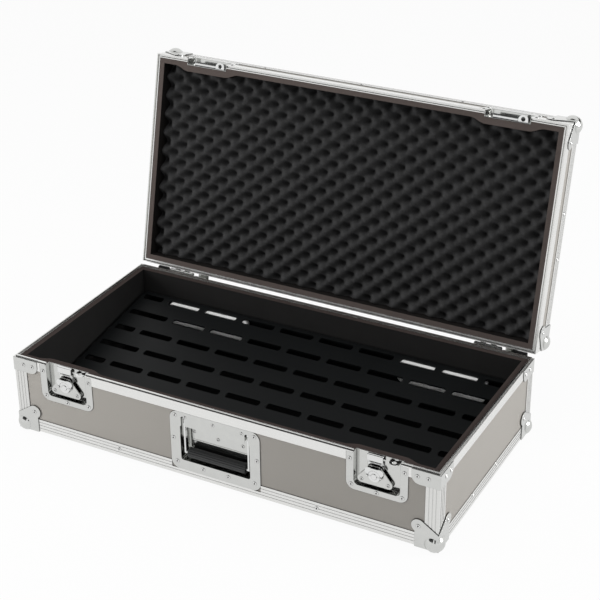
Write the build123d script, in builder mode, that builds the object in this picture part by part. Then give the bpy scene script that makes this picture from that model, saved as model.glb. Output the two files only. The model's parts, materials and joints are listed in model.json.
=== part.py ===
"""Guitar pedal case: a flight case with a hinged lid, butterfly latches, a drop handle and a slotted deck.

The case rests on its underside with the lid standing open. X runs along its length, Y from the latches
to the hinges and Z up, in millimetres. Z is 0 on the outer face of the bottom panel.
"""

from build123d import *

import os
from math import asin, atan2, cos, radians, sin, tan

os.makedirs("parts", exist_ok=True)

# ---- Driving dimensions: shell -------------------------------------------------------------------
case_length = 800.0
case_depth = 400.0
base_height = 140.0
lid_height = 60.0
panel = 5.5  # laminated plywood
metal = 1.2  # wall of every extrusion and pressed dish
lining = 9.3  # padded board inside the walls
felt = 3.0  # floor lining
rim_gap = 0.3  # between the closed rims
lining_drop = 0.6  # top of a lining below its rim
swell = 8.0  # depth of the swelling behind a latch
swell_half = 44.0
swell_slope = 18.0
swell_round = 30.0
swell_root = 1.0  # part of a swelling inside the flat lining
dish_clearance = 0.3

# Edge extrusions
edge_flange = 24.0
groove_width = 1.4
groove_depth = 0.4
groove_places = (5.0, 11.0, 17.0)

# Closing profiles round the rims
rim_flange = 17.7
rim_lip = 9.0
tongue_inset = 2.3
tongue_width = 2.2
tongue_height = 3.0
tongue_clearance = 0.6

# Ball corners and rim braces
ball_radius = 17.0
ball_inset = 9.3
lobe_plate = 1.5
lobe_reach = 40.0
lobe_neck = 29.5
lobe_rivet = (34.0, 38.5)
lobe_radius = 12.0
brace_plate = 1.2
brace_reach = 48.0
brace_height = 26.0
brace_radius = 14.0

# ---- Driving dimensions: latches -----------------------------------------------------------------
latch_inset = 107.0  # middle of a latch from the end of the case
dish_opening = 80.0
dish_depth = 11.0
dish_drop = 60.0  # recess below the base rim
dish_side = 13.3  # flange beside the recess
dish_foot = 10.5  # flange below the recess
dish_edge = 2.0  # flange edge short of the rim
dish_corner = 8.0
flange_corner = 15.0
keeper_rise = 24.7  # recess above the lid rim
keeper_head = 10.8  # flange above the recess
keeper_corner = 4.0

# Latch works, from the back of the dish outward
works_offset = -5.5  # works off the middle of the dish
works_gap = 0.3  # play between sliding faces
slider_plate = 1.8
crank_plate = 1.4
cover_plate = 1.5
disc_plate = 3.2
dome_rise = 1.0
wing_pin_place = 2.4  # wing pins in front of the disc's back

# Rotor and wing
rotor_drop = 37.4  # rotor axis below the rim
rotor_radius = 10.0
hub_radius = 4.0
dome_radius = 5.0
dome_taper = 30.0
crank_throw = 8.0  # half the travel of the hook
crank_pin_radius = 1.5
wing_plate = 2.0
wing_play = 0.3
wing_pin_radius = 1.1
wing_eye_radius = 2.3
wing_eye_length = 2.8
wing_ear_radius = 6.2
wing_ear_place = (9.8, 8.6)
wing_bridge = 4.0

# Cover
foot_spread = 46.0
foot_radius = 7.0
foot_drop = 12.1  # middle of a foot below the rotor axis
apex_rise = 8.0
apex_radius = 9.0
cheek_plate = 1.5
cheek_height = 14.0

# Slider and hook
slider_width = 27.0
slider_low = -15.6  # lower edge of the slider, from the rotor axis
slot_room = 1.9  # height round the crank pin in its cross slot
tilt_drop = 14.0  # tilt pin of the hook below the rim
tilt_depth = 2.6
tilt_pin_radius = 0.9
tilt_eye_radius = 2.0
tilt_eye_length = 4.0
tilt_play = 0.25
hook_plate = 1.8
hook_depth = 5.0
hook_lip_depth = 1.8
hook_jog = 3.0
hook_rise = 0.6  # hook at rest above the rim
hook_round = 1.4

# Keeper and padlock tabs
keeper_place = 4.5  # lip above the lid rim, clear of the slider at its highest
keeper_plate = 1.5
keeper_width = 45.0
keeper_lip = 4.4
keeper_round = 0.6
keeper_end = 2.0  # plate short of the end of its recess
tab_plate = 1.5
tab_radius = 9.0
tab_middle = 3.6  # middle of the round end off the dish's back
tab_hole_radius = 3.75
tab_hole_place = 5.4
tab_offset = 27.0
tab_drop = 4.0  # tab below the base rim
lid_tab_rise = 1.5  # tab above the lid rim

# ---- Driving dimensions: handle ------------------------------------------------------------------
handle_opening = 132.0
handle_flange = 19.0
handle_low = 10.0  # lower edge of the flange
handle_top = 122.0
mouth_low = 29.0
mouth_top = 96.0
pocket_top = 118.0
handle_depth = 20.0
handle_corner = 15.0
pivot_height = 108.0
pivot_inset = 9.0  # pivot behind the front face
pivot_pin_radius = 2.5
pivot_play = 0.3
arm_plate = 3.0
arm_width = 8.0
arm_gap = 4.0  # arm to the side of the dish
eye_radius = 5.0
grip_drop = 66.5
grip_radius = 9.2
grip_gap = 3.0  # grip to an arm
grip_core_radius = 4.0
flute_radius = 0.8
flute_count = 14
bracket_plate = 1.5
bracket_low = 62.0
bracket_roll = 2.25
bracket_gap = 1.0  # bracket below the top of the pocket
cheek_rise = 9.0  # cheek above the pivot
pin_seat = 3.0  # pivot pin inside the cheek
slot_clearance = 2.0  # round the arm in its slot
spring_wire_radius = 0.6
spring_turns = 2.5
spring_play = 0.4
spring_room = 5.0  # cheek to arm
spring_end = 0.9  # first turn off the cheek

# ---- Driving dimensions: hinges ------------------------------------------------------------------
lid_opening = 103.0
hinge_standoff = 5.0  # hinge axis behind the back face
knuckle_radius = 4.0
hinge_pin_radius = 2.0
hinge_pin_play = 0.2
hinge_leaf = 1.5
leaf_height = 30.0
leaf_tail = 12.0  # leaf beyond the knuckles, under the ear
knuckle_count = 5
knuckle_span = 50.0
knuckle_gap = 0.4
leaf_clearance = 0.6  # leaf off the knuckles of its partner
pin_overrun = 1.0
ear_width = 22.0
ear_reach = 24.0
ear_plate = 2.0
ear_start = 6.0
ear_gap = 0.3
hinge_insets = (65.0, 111.0)  # start of a hinge from the end of the case
buffer_radius = 4.5
buffer_drop = 16.0  # buffer below the hinge axis
buffer_length = 22.0
buffer_insets = (39.0, 36.5)

# ---- Driving dimensions: deck, supply loops and foam ---------------------------------------------
deck_slope = 8.72
deck_level = 72.9  # top face at the middle row
row_shift = 1.65  # middle row behind the middle of the deck
deck_front_gap = 24.0  # room for the swellings of the front lining
deck_back_gap = 3.5
deck_sheet = 3.0
deck_end_gap = 8.0
deck_corner = 15.0
deck_bend = 5.0
slot_length = 67.4
slot_width = 14.0
slot_radius = 4.5
slot_pitch = 80.4
row_pitch = 50.39
row_margin = 12.0  # least distance of a slot from the deck's back
row_end = 5.9  # rows short of the deck's ends
shortest_slot = 20.0
loop_size = (169.0, 41.8)
loop_strip = 2.0
loop_corner = 10.0
loop_width = 13.5  # along the slope of the deck
loop_setback = 15.9  # front of a loop from the inside of the deck's back
loop_insets = (168.5, 153.5)
foam_recess = 11.0
foam_clearance = 0.5

# ---- Worked out from the above -------------------------------------------------------------------
half_length = case_length / 2
half_depth = case_depth / 2
closed_top = base_height + lid_height
lid_rim = base_height + rim_gap
rim_width = metal + panel
inner_x = half_length - rim_width
inner_y = half_depth - rim_width
lined_x = inner_x - lining
lined_y = inner_y - lining
floor_top = panel + felt
lid_ceiling = closed_top - rim_width
rim_block = tongue_height + tongue_clearance + metal
dish_half = dish_opening / 2 + metal
flange_half = dish_opening / 2 + dish_side
latch_centres = (latch_inset - half_length, half_length - latch_inset)
slider_depth = works_gap
crank_depth = slider_depth + slider_plate + works_gap
cover_depth = crank_depth + crank_plate + works_gap
disc_depth = cover_depth + cover_plate + works_gap
pin_depth = disc_depth + wing_pin_place
tilt_height = base_height - tilt_drop
hook_high = base_height + hook_rise
keeper_low = lid_rim + keeper_place
tab_height = base_height - tab_drop - tab_plate
pivot_origin = Vector(0, -half_depth + pivot_inset, pivot_height)
arm_outer = handle_opening / 2 - arm_gap
arm_inner = arm_outer - arm_plate
bracket_half = arm_inner - spring_room
grip_half = arm_inner - grip_gap
knuckle = knuckle_span / knuckle_count
stop_angle = (180 - lid_opening) / 2  # an ear stands off its wall by half of what the lid leaves open
hinge_axis = Axis((0, half_depth + hinge_standoff, base_height), (1, 0, 0))
left_places = [inset - half_length for inset in (hinge_insets[0], buffer_insets[0], loop_insets[0])]
right_places = [half_length - inset for inset in (hinge_insets[1], buffer_insets[1], loop_insets[1])]
hinge_starts, buffer_places, loop_places = zip(left_places, right_places)
deck_front = deck_front_gap - lined_y
deck_back = lined_y - deck_back_gap
deck_middle = ((deck_front + deck_back) / 2 + row_shift, deck_level)
loop_front = deck_back - deck_sheet - loop_setback
deck_rise = tan(radians(deck_slope))
deck_half = lined_x - deck_end_gap
deck_along = Vector(0, cos(radians(deck_slope)), sin(radians(deck_slope)))
deck_plane = Plane(origin=(0, *deck_middle), x_dir=(1, 0, 0), z_dir=Vector(1, 0, 0).cross(deck_along))

front = Plane(origin=(0, -half_depth, 0), x_dir=(1, 0, 0), z_dir=(0, -1, 0))
up = Vector(0, 0, 1)
walls = {
    "front": (Vector(0, 1, 0), half_depth, half_length),
    "back": (Vector(0, -1, 0), half_depth, half_length),
    "left": (Vector(1, 0, 0), half_length, half_depth),
    "right": (Vector(-1, 0, 0), half_length, half_depth),
}


# ---- Helpers -------------------------------------------------------------------------------------
def across(wall):
    """Plane across a wall: x runs inward from the outer face and y runs up."""
    inward, distance, _ = walls[wall]
    return Plane(origin=inward * -distance, x_dir=inward, z_dir=inward.cross(up))


def plan(wall, height=0.0):
    """Plane seen from above: x runs along the wall and y inward from the outer face."""
    inward, distance, _ = walls[wall]
    return Plane(origin=inward * -distance + up * height, x_dir=inward.cross(up), z_dir=up)


def block(x_from, x_to, y_from, y_to, mode=Mode.ADD):
    """Rectangle between two corners of the sketch in hand."""
    with Locations(((x_from + x_to) / 2, (y_from + y_to) / 2)):
        Rectangle(x_to - x_from, y_to - y_from, mode=mode)


def save(label, *pieces):
    """Labels a sub-part and writes its STEP file; pieces given together share one node."""
    node = pieces[0] if len(pieces) == 1 else Compound([s for piece in pieces for s in piece.solids()])
    node.label = label
    export_step(node, f"parts/{label}.step")


def save_on_lid(label, *pieces):
    """Turns pieces drawn on the closed lid to where the open lid holds them, and writes them."""
    save(label, *[piece.rotate(hinge_axis, -lid_opening) for piece in pieces])


def four_corners(piece):
    """The piece drawn at one corner of the case, and its mirror images at the other three."""
    pair = [piece, piece.mirror(Plane.YZ)]
    return pair + [half.mirror(Plane.XZ) for half in pair]


# ---- Extrusions ----------------------------------------------------------------------------------
def mitred_bar(wall, section, reach):
    """A length of extrusion along a wall, mitred to meet its neighbours at both ends."""
    half_run = walls[wall][2]
    with BuildPart() as bar:
        with BuildSketch(across(wall)):
            section()
        extrude(amount=half_run, both=True)
        with BuildSketch(plan(wall)):
            Polygon((-half_run, 0), (half_run, 0), (half_run - reach, reach), (reach - half_run, reach))
        extrude(amount=2 * closed_top, both=True, mode=Mode.INTERSECT)
    return bar.part


def bottom_edge_section():
    """Grooved angle under the bottom edge of a base wall."""
    block(0, metal, -metal, edge_flange - metal)
    block(0, edge_flange, -metal, 0)
    for place in groove_places:
        block(0, groove_depth, place, place + groove_width, mode=Mode.SUBTRACT)
        block(place, place + groove_width, -metal, groove_depth - metal, mode=Mode.SUBTRACT)


def top_edge_section():
    """Grooved angle over the top edge of a lid wall."""
    block(0, metal, closed_top - edge_flange, closed_top)
    block(0, edge_flange, closed_top - metal, closed_top)
    for place in groove_places:
        block(0, groove_depth, closed_top - place - groove_width, closed_top - place, mode=Mode.SUBTRACT)
        block(place, place + groove_width, closed_top - groove_depth, closed_top, mode=Mode.SUBTRACT)


def base_rim_section():
    """Closing profile of the base: it caps the panel and carries the tongue."""
    block(0, metal, base_height - rim_flange, base_height)
    block(0, rim_width, base_height - metal, base_height)
    block(panel, rim_width, base_height - rim_lip, base_height)
    block(tongue_inset, tongue_inset + tongue_width, base_height, base_height + tongue_height)


def lid_rim_section():
    """Closing profile of the lid: its groove takes the tongue of the base."""
    block(0, rim_width, lid_rim, lid_rim + rim_block)
    block(0, metal, lid_rim, lid_rim + rim_flange)
    block(panel, rim_width, lid_rim, lid_rim + rim_lip)
    block(
        tongue_inset - tongue_clearance,
        tongue_inset + tongue_width + tongue_clearance,
        lid_rim,
        lid_rim + tongue_height + tongue_clearance,
        mode=Mode.SUBTRACT,
    )


def corner_post(low, high):
    """Upright grooved angle at the front left corner."""
    with BuildPart() as post:
        with BuildSketch(Plane.XY.offset(low)):
            block(-half_length, -half_length + edge_flange, -half_depth, -half_depth + edge_flange)
            block(
                -half_length + metal,
                -half_length + edge_flange,
                -half_depth + metal,
                -half_depth + edge_flange,
                mode=Mode.SUBTRACT,
            )
            for place in groove_places:
                start = place - half_length
                groove_end = groove_depth - half_depth
                block(start, start + groove_width, -half_depth, groove_end, mode=Mode.SUBTRACT)
                start = place - half_depth
                groove_end = groove_depth - half_length
                block(-half_length, groove_end, start, start + groove_width, mode=Mode.SUBTRACT)
        extrude(amount=high - low)
    return post.part


def cut_for_latches(bar, low, high, rim, away):
    """A front rim without its metal at the latch recesses and under the flanges of the dishes."""
    with BuildPart() as cut:
        add(bar)
        with BuildSketch(front.offset(metal)):
            for centre in latch_centres:
                block(centre - dish_half, centre + dish_half, low, high)
        extrude(amount=-2 * rim_width, mode=Mode.SUBTRACT)
        with BuildSketch(front):
            for centre in latch_centres:
                far = sorted((rim + away * dish_edge, rim + away * 2 * rim_flange))
                block(centre - flange_half, centre + flange_half, *far)
        extrude(amount=-metal, mode=Mode.SUBTRACT)
    return cut.part


# ---- Panels --------------------------------------------------------------------------------------
def flat_panel(low):
    """Bottom or top panel; the walls stand on its inner face."""
    with BuildPart() as sheet:
        with BuildSketch(Plane.XY.offset(low)):
            Rectangle(case_length - 2 * metal, case_depth - 2 * metal)
        extrude(amount=panel)
    return sheet.part


def wall_panel(wall, half_run, low, high, lip_low, lip_high):
    """A wall of the base or lid, rebated inside where the lip of the closing profile seats."""
    with BuildPart() as sheet:
        with BuildSketch(across(wall)):
            block(metal, rim_width, low, high)
            block(panel, rim_width, lip_low, lip_high, mode=Mode.SUBTRACT)
        extrude(amount=half_run, both=True)
    return sheet.part


def base_wall(wall, half_run):
    """A wall panel of the base."""
    return wall_panel(wall, half_run, panel, base_height - metal, base_height - rim_lip, base_height)


def lid_wall(wall, half_run):
    """A wall panel of the lid."""
    return wall_panel(wall, half_run, lid_rim + rim_block, lid_ceiling, lid_rim, lid_rim + rim_lip)


def base_front_wall():
    """Front wall of the base, cut out for the latch dishes and the handle dish."""
    with BuildPart() as wall:
        add(base_wall("front", half_length - metal))
        with BuildSketch(front):
            for centre in latch_centres:
                block(centre - dish_half, centre + dish_half, base_height - dish_drop - metal, base_height)
            pocket_half = handle_opening / 2 + metal
            block(-pocket_half, pocket_half, mouth_low - metal, pocket_top + metal)
        extrude(amount=-2 * rim_width, mode=Mode.SUBTRACT)
    return wall.part


def lid_front_wall():
    """Front wall of the lid, cut out for the keeper dishes."""
    with BuildPart() as wall:
        add(lid_wall("front", half_length - metal))
        with BuildSketch(front):
            for centre in latch_centres:
                block(centre - dish_half, centre + dish_half, lid_rim, lid_rim + keeper_rise + metal)
        extrude(amount=-2 * rim_width, mode=Mode.SUBTRACT)
    return wall.part


# ---- Linings -------------------------------------------------------------------------------------

def swelling(centre, base_line, grow=0.0, mode=Mode.ADD):
    """Swelling of the front lining behind a latch, in the plan of the front wall."""
    foot = swell_half + swell_slope + grow
    crown = swell_half + grow
    Polygon(
        (centre - foot, base_line - swell_root),
        (centre - foot, base_line),
        (centre - crown, base_line + swell + grow),
        (centre + crown, base_line + swell + grow),
        (centre + foot, base_line),
        (centre + foot, base_line - swell_root),
        mode=mode,
    )


def swelling_bends(outline):
    """The bends of both swellings in a sketch seen from above."""
    end = latch_centres[1] + 2 * swell_half
    return outline.vertices().filter_by(lambda v: abs(v.X) < end)


def front_lining(low, high, pocket_low, pocket_high):
    """Front wall lining with its two rounded swellings and the pockets that clear the dishes."""
    with BuildPart() as board:
        with BuildSketch(plan("front", low)) as outline:
            block(-inner_x, inner_x, rim_width, rim_width + lining)
            for centre in latch_centres:
                swelling(centre, rim_width + lining)
            fillet(swelling_bends(outline), radius=swell_round)
        extrude(amount=high - low)
        with BuildSketch(front):
            for centre in latch_centres:
                reach = dish_half + dish_clearance
                block(centre - reach, centre + reach, pocket_low, pocket_high)
        extrude(amount=-(dish_depth + metal + dish_clearance), mode=Mode.SUBTRACT)
    return board.part


def base_front_lining():
    """Front lining of the base, open behind the handle dish."""
    pocket_half = handle_opening / 2 + metal + dish_clearance
    with BuildPart() as board:
        add(
            front_lining(
                floor_top,
                base_height - lining_drop,
                base_height - dish_drop - metal - dish_clearance,
                base_height,
            )
        )
        with BuildSketch(front):
            block(
                -pocket_half,
                pocket_half,
                mouth_low - metal - dish_clearance,
                pocket_top + metal + dish_clearance,
            )
        extrude(amount=-2 * (rim_width + lining), mode=Mode.SUBTRACT)
    return board.part


def plain_lining(wall, half_run, low, high):
    """Flat lining board of the back wall or of an end wall."""
    with BuildPart() as board:
        with BuildSketch(plan(wall, low)):
            block(-half_run, half_run, rim_width, rim_width + lining)
        extrude(amount=high - low)
    return board.part


# ---- Corners -------------------------------------------------------------------------------------
def lobe():
    """One lobe of a ball corner, in the quarter of a face with the case's corner at the origin."""
    rivet_x, rivet_y = lobe_rivet
    run = Vector(rivet_x + lobe_plate, rivet_y - lobe_neck)
    turn = atan2(run.Y, run.X) + asin(lobe_radius / run.length) + radians(90)
    Polygon(
        (-lobe_plate, -lobe_plate),
        (lobe_reach, -lobe_plate),
        (lobe_reach, rivet_y),
        (rivet_x, rivet_y),
        (rivet_x + lobe_radius * cos(turn), rivet_y + lobe_radius * sin(turn)),
        (-lobe_plate, lobe_neck),
    )
    with Locations((rivet_x, rivet_y)):
        Circle(lobe_radius)


def ball_corner():
    """Ball corner at the front right bottom corner: three riveted lobes and a pressed ball."""
    corner = Vector(half_length, -half_depth, -metal)
    faces = (
        (Plane(origin=corner, x_dir=(-1, 0, 0), z_dir=(0, 1, 0)), -lobe_plate),
        (Plane(origin=corner, x_dir=(0, 1, 0), z_dir=(1, 0, 0)), lobe_plate),
        (Plane(origin=corner, x_dir=(-1, 0, 0), z_dir=(0, 0, -1)), lobe_plate),
    )
    heart = Plane(
        origin=corner + Vector(-ball_inset, ball_inset, ball_inset),
        x_dir=(-1, 1, 2),
        z_dir=(-1, 1, -1),
    )
    reach = 2 * lobe_reach
    with BuildPart() as piece:
        with Locations(heart):
            Sphere(ball_radius)
        with Locations(corner):
            Box(reach, reach, reach, align=(Align.MAX, Align.MIN, Align.MIN), mode=Mode.SUBTRACT)
        for face, thickness in faces:
            with BuildSketch(face):
                lobe()
            extrude(amount=thickness)
    return piece.part


def rim_brace():
    """Corner brace over the closing profile of the base, at the front right corner."""
    faces = (
        (Plane(origin=(half_length, -half_depth, 0), x_dir=(-1, 0, 0), z_dir=(0, 1, 0)), -brace_plate),
        (Plane(origin=(half_length, -half_depth, 0), x_dir=(0, 1, 0), z_dir=(1, 0, 0)), brace_plate),
    )
    with BuildPart() as piece:
        for face, thickness in faces:
            with BuildSketch(face) as outline:
                block(-brace_plate, brace_reach, base_height - brace_height, base_height)
                far_low = outline.vertices().group_by(Axis.X)[-1].sort_by(Axis.Y)[0]
                fillet(far_low, radius=brace_radius)
            extrude(amount=thickness)
    return piece.part


# ---- Latches -------------------------------------------------------------------------------------
def dish(centre, rim, away, reach, flange_reach, corner):
    """Pressed dish open at the rim; away is -1 when it runs down from the rim and 1 when it runs up."""
    face = Plane(origin=(centre, -half_depth, rim), x_dir=(away, 0, 0), z_dir=(0, -1, 0))
    half = dish_opening / 2
    with BuildPart() as tray:
        with BuildSketch(face) as outline:
            block(-flange_half, flange_half, dish_edge, flange_reach)
            fillet(outline.vertices().group_by(Axis.Y)[-1], radius=flange_corner)
        extrude(amount=-metal)
        with BuildSketch(face) as shell:
            block(-dish_half, dish_half, 0, reach + metal)
            fillet(shell.vertices().group_by(Axis.Y)[-1], radius=corner + metal)
        extrude(amount=-(dish_depth + metal))
        with BuildSketch(face) as hollow:
            block(-half, half, -dish_edge, reach)
            fillet(hollow.vertices().group_by(Axis.Y)[-1], radius=corner)
        extrude(amount=-dish_depth, mode=Mode.SUBTRACT)
    return tray.part


def works_plane(centre, depth):
    """Plane of the latch works: x along the case, y up from the rotor axis, depth off the dish's back."""
    origin = (centre + works_offset, -half_depth + dish_depth - depth, base_height - rotor_drop)
    return Plane(origin=origin, x_dir=(1, 0, 0), z_dir=(0, -1, 0))


def works_profile_plane(centre):
    """Plane across the latch works: x is the depth off the dish's back and y the height."""
    origin = (centre + works_offset, -half_depth + dish_depth, 0)
    return Plane(origin=origin, x_dir=(0, -1, 0), z_dir=(-1, 0, 0))


def latch_cover(centre):
    """Cover plate: a rounded triangle on two feet, with cheeks that guide the slider."""
    feet = [(-foot_spread / 2, -foot_drop), (foot_spread / 2, -foot_drop)]
    cheek = slider_width / 2 + works_gap
    with BuildPart() as cover:
        with BuildSketch(works_plane(centre, cover_depth)):
            with Locations(*feet):
                Circle(foot_radius)
            with Locations((-apex_radius / 2, apex_rise), (apex_radius / 2, apex_rise)):
                Circle(apex_radius)
            make_hull()
            Circle(hub_radius + works_gap, mode=Mode.SUBTRACT)
        extrude(amount=cover_plate)
        with BuildSketch(works_plane(centre, 0)):
            with Locations(*feet):
                Circle(foot_radius - cover_plate)
            for side in (-1, 1):
                edges = sorted((side * cheek, side * (cheek + cheek_plate)))
                block(*edges, -foot_drop, cheek_height - foot_drop)
        extrude(amount=cover_depth)
    return cover.part


def latch_rotor(centre):
    """Rotor: crank disc and pin behind the cover, hub through it, boss and wing pins in front."""
    pin_span = rotor_radius + wing_eye_length + 2 * wing_play
    with BuildPart() as rotor:
        with BuildSketch(works_plane(centre, crank_depth)):
            Circle(rotor_radius)
        extrude(amount=crank_plate)
        with BuildSketch(works_plane(centre, slider_depth)):
            with Locations((0, -crank_throw)):
                Circle(crank_pin_radius)
        extrude(amount=crank_depth - slider_depth)
        with BuildSketch(works_plane(centre, crank_depth)):
            Circle(hub_radius)
        extrude(amount=disc_depth - crank_depth)
        with BuildSketch(works_plane(centre, disc_depth)):
            Circle(rotor_radius)
        extrude(amount=disc_plate)
        with BuildSketch(works_plane(centre, disc_depth + disc_plate)):
            Circle(dome_radius)
        extrude(amount=dome_rise, taper=dome_taper)
        with BuildSketch(Plane(origin=works_plane(centre, pin_depth).origin, z_dir=(1, 0, 0))):
            Circle(wing_pin_radius)
        extrude(amount=pin_span, both=True)
    return rotor.part


def latch_wing(centre):
    """Butterfly wing: two rounded ears on eyes that turn on the rotor's pins."""
    eye_inner = rotor_radius + wing_play
    eye_outer = eye_inner + wing_eye_length
    ear_x, ear_y = wing_ear_place
    pin_origin = works_plane(centre, pin_depth).origin
    with BuildPart() as wing:
        with BuildSketch(works_plane(centre, pin_depth - wing_plate / 2)):
            with Locations((ear_x, ear_y), (-ear_x, ear_y)):
                Circle(wing_ear_radius)
            block(-ear_x, ear_x, rotor_radius, rotor_radius + wing_bridge)
            Circle(rotor_radius + wing_play, mode=Mode.SUBTRACT)
            block(eye_inner, eye_outer, 0, ear_y)
            block(-eye_outer, -eye_inner, 0, ear_y)
        extrude(amount=wing_plate)
        for side in (-1, 1):
            with BuildSketch(Plane(origin=pin_origin + Vector(side * eye_inner), z_dir=(side, 0, 0))):
                Circle(wing_eye_radius)
            extrude(amount=wing_eye_length)
        with BuildSketch(Plane(origin=pin_origin, z_dir=(1, 0, 0))):
            Circle(wing_pin_radius + wing_play)
        extrude(amount=2 * rotor_radius, both=True, mode=Mode.SUBTRACT)
    return wing.part


def latch_slider(centre):
    """Slider: a plate behind the crank with a cross slot for its pin, and tilt eyes on top."""
    half = slider_width / 2
    slot_half = crank_pin_radius + slot_room
    top = tilt_height - base_height + rotor_drop - tilt_eye_radius - tilt_play
    with BuildPart() as slider:
        with BuildSketch(works_plane(centre, slider_depth)):
            block(-half, half, slider_low, top)
            with Locations((crank_throw / 2, -crank_throw)):
                Rectangle(crank_throw + 2 * slot_half, 2 * slot_half, mode=Mode.SUBTRACT)
        extrude(amount=slider_plate)
        for side in (-1, 1):
            edge = half - tilt_eye_length if side > 0 else -half
            with BuildSketch(works_profile_plane(centre).offset(-edge)):
                with Locations((tilt_depth, tilt_height)):
                    Circle(tilt_eye_radius)
                root = tilt_height - 2 * tilt_eye_radius
                block(slider_depth, slider_depth + slider_plate, root, tilt_height)
            extrude(amount=-tilt_eye_length)
        with BuildSketch(works_profile_plane(centre)):
            with Locations((tilt_depth, tilt_height)):
                Circle(tilt_pin_radius)
        extrude(amount=half, both=True)
    return slider.part


def latch_hook(centre):
    """Hook: a strip that tilts on the slider's pin, jogs outward and ends in an inward lip."""
    barrel_half = slider_width / 2 - tilt_eye_length - tilt_play
    outer = hook_depth + hook_plate
    with BuildPart() as hook:
        with BuildSketch(works_profile_plane(centre)):
            with Locations((tilt_depth, tilt_height)):
                Circle(tilt_eye_radius)
            Polygon(
                (tilt_depth, tilt_height),
                (tilt_depth + tilt_eye_radius, tilt_height),
                (outer, tilt_height + hook_jog),
                (outer, tilt_height + 2 * hook_jog),
                (hook_depth, tilt_height + 2 * hook_jog),
                (hook_depth, tilt_height + hook_jog),
            )
            with Locations((tilt_depth, tilt_height)):
                Circle(tilt_pin_radius + tilt_play, mode=Mode.SUBTRACT)
        extrude(amount=barrel_half, both=True)
        with BuildSketch(works_profile_plane(centre)) as strip:
            block(hook_depth, outer, tilt_height + hook_jog, hook_high)
            block(hook_lip_depth, outer, hook_high - hook_plate, hook_high)
            fillet(strip.vertices().group_by(Axis.Y)[-1].sort_by(Axis.X)[-1], radius=hook_round)
        extrude(amount=slider_width / 2, both=True)
    return hook.part


def keeper(centre):
    """Keeper in the lid dish: a riveted plate whose lip the hook pulls down on, on the closed lid."""
    with BuildPart() as plate:
        with BuildSketch(works_profile_plane(centre)) as section:
            block(0, keeper_plate, keeper_low, lid_rim + keeper_rise - keeper_end)
            block(0, keeper_lip, keeper_low, keeper_low + keeper_plate)
            fillet(section.vertices().group_by(Axis.X)[-1], radius=keeper_round)
        extrude(amount=keeper_width / 2, both=True)
    return plate.part


def padlock_tab(centre, height):
    """Level tab with a padlock hole, on the back of a dish beside the latch works."""
    foot = Vector(centre + tab_offset, -half_depth + dish_depth, height)
    with BuildPart() as tab:
        with BuildSketch(Plane(origin=foot, x_dir=(-1, 0, 0), z_dir=(0, 0, 1))):
            with Locations((0, tab_middle)):
                Circle(tab_radius)
            block(-tab_radius, tab_radius, 0, tab_middle)
            block(-tab_radius, tab_radius, -tab_radius, 0, mode=Mode.SUBTRACT)
            with Locations((0, tab_hole_place)):
                Circle(tab_hole_radius, mode=Mode.SUBTRACT)
        extrude(amount=tab_plate)
    return tab.part


# ---- Handle --------------------------------------------------------------------------------------

def end_plane(place):
    """Plane across the handle at a place along X: x runs toward the back and y up, from the pivot."""
    return Plane(origin=pivot_origin + Vector(place), x_dir=(0, 1, 0), z_dir=(1, 0, 0))


def handle_dish():
    """Handle dish: a wide upper flange with a slot for each arm, and a pocket behind it for the pivots."""
    half = handle_opening / 2
    flange = half + handle_flange
    with BuildPart() as tray:
        with BuildSketch(front) as outline:
            block(-flange, flange, handle_low, handle_top)
            fillet(outline.vertices(), radius=handle_corner)
        extrude(amount=-metal)
        with BuildSketch(front) as shell:
            block(-half - metal, half + metal, mouth_low - metal, pocket_top + metal)
            fillet(shell.vertices(), radius=dish_corner / 2 + metal)
        extrude(amount=-(handle_depth + metal))
        with BuildSketch(front.offset(-metal)) as hollow:
            block(-half, half, mouth_low, pocket_top)
            fillet(hollow.vertices(), radius=dish_corner / 2)
        extrude(amount=-(handle_depth - metal), mode=Mode.SUBTRACT)
        with BuildSketch(front) as mouth:
            block(-half, half, mouth_low, mouth_top)
            fillet(mouth.vertices(), radius=dish_corner / 2)
            slot = arm_plate / 2 + slot_clearance
            slot_end = pivot_height + arm_width / 2 + slot_clearance - slot
            for side in (-1, 1):
                middle = side * (arm_inner + arm_outer) / 2
                with Locations((middle, slot_end)):
                    Circle(slot)
                block(middle - slot, middle + slot, mouth_top - dish_corner, slot_end)
        extrude(amount=-metal, mode=Mode.SUBTRACT)
    return tray.part


def handle_bracket():
    """Pivot bracket riveted to the back of the dish, with a rolled lower edge and two cheeks."""
    back = front.offset(-handle_depth)
    with BuildPart() as bracket:
        with BuildSketch(back):
            block(-bracket_half, bracket_half, bracket_low, pocket_top - bracket_gap)
        extrude(amount=bracket_plate)
        roll = Vector(0, handle_depth - half_depth, bracket_low)
        with BuildSketch(Plane(origin=roll, z_dir=(1, 0, 0))):
            Circle(bracket_roll)
        extrude(amount=bracket_half, both=True)
        for side in (-1, 1):
            with BuildSketch(end_plane(side * bracket_half)) as cheek:
                cheek_front = 2 * metal - pivot_inset
                block(cheek_front, handle_depth - pivot_inset, mouth_top - pivot_height, cheek_rise)
                fillet(cheek.vertices().group_by(Axis.X)[0], radius=2 * metal)
                Circle(pivot_pin_radius, mode=Mode.SUBTRACT)
            extrude(amount=-side * bracket_plate)
        with BuildSketch(back):
            block(-2 * bracket_half, 2 * bracket_half, 0, base_height)
        extrude(amount=-2 * bracket_plate, mode=Mode.SUBTRACT)
    return bracket.part


def handle_pin(side):
    """Pivot pin from the bracket's cheek through the arm to the side of the dish."""
    with BuildPart() as pin:
        with BuildSketch(end_plane(side * (bracket_half - pin_seat))):
            Circle(pivot_pin_radius)
        extrude(amount=side * (handle_opening / 2 - bracket_half + pin_seat))
    return pin.part


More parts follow.
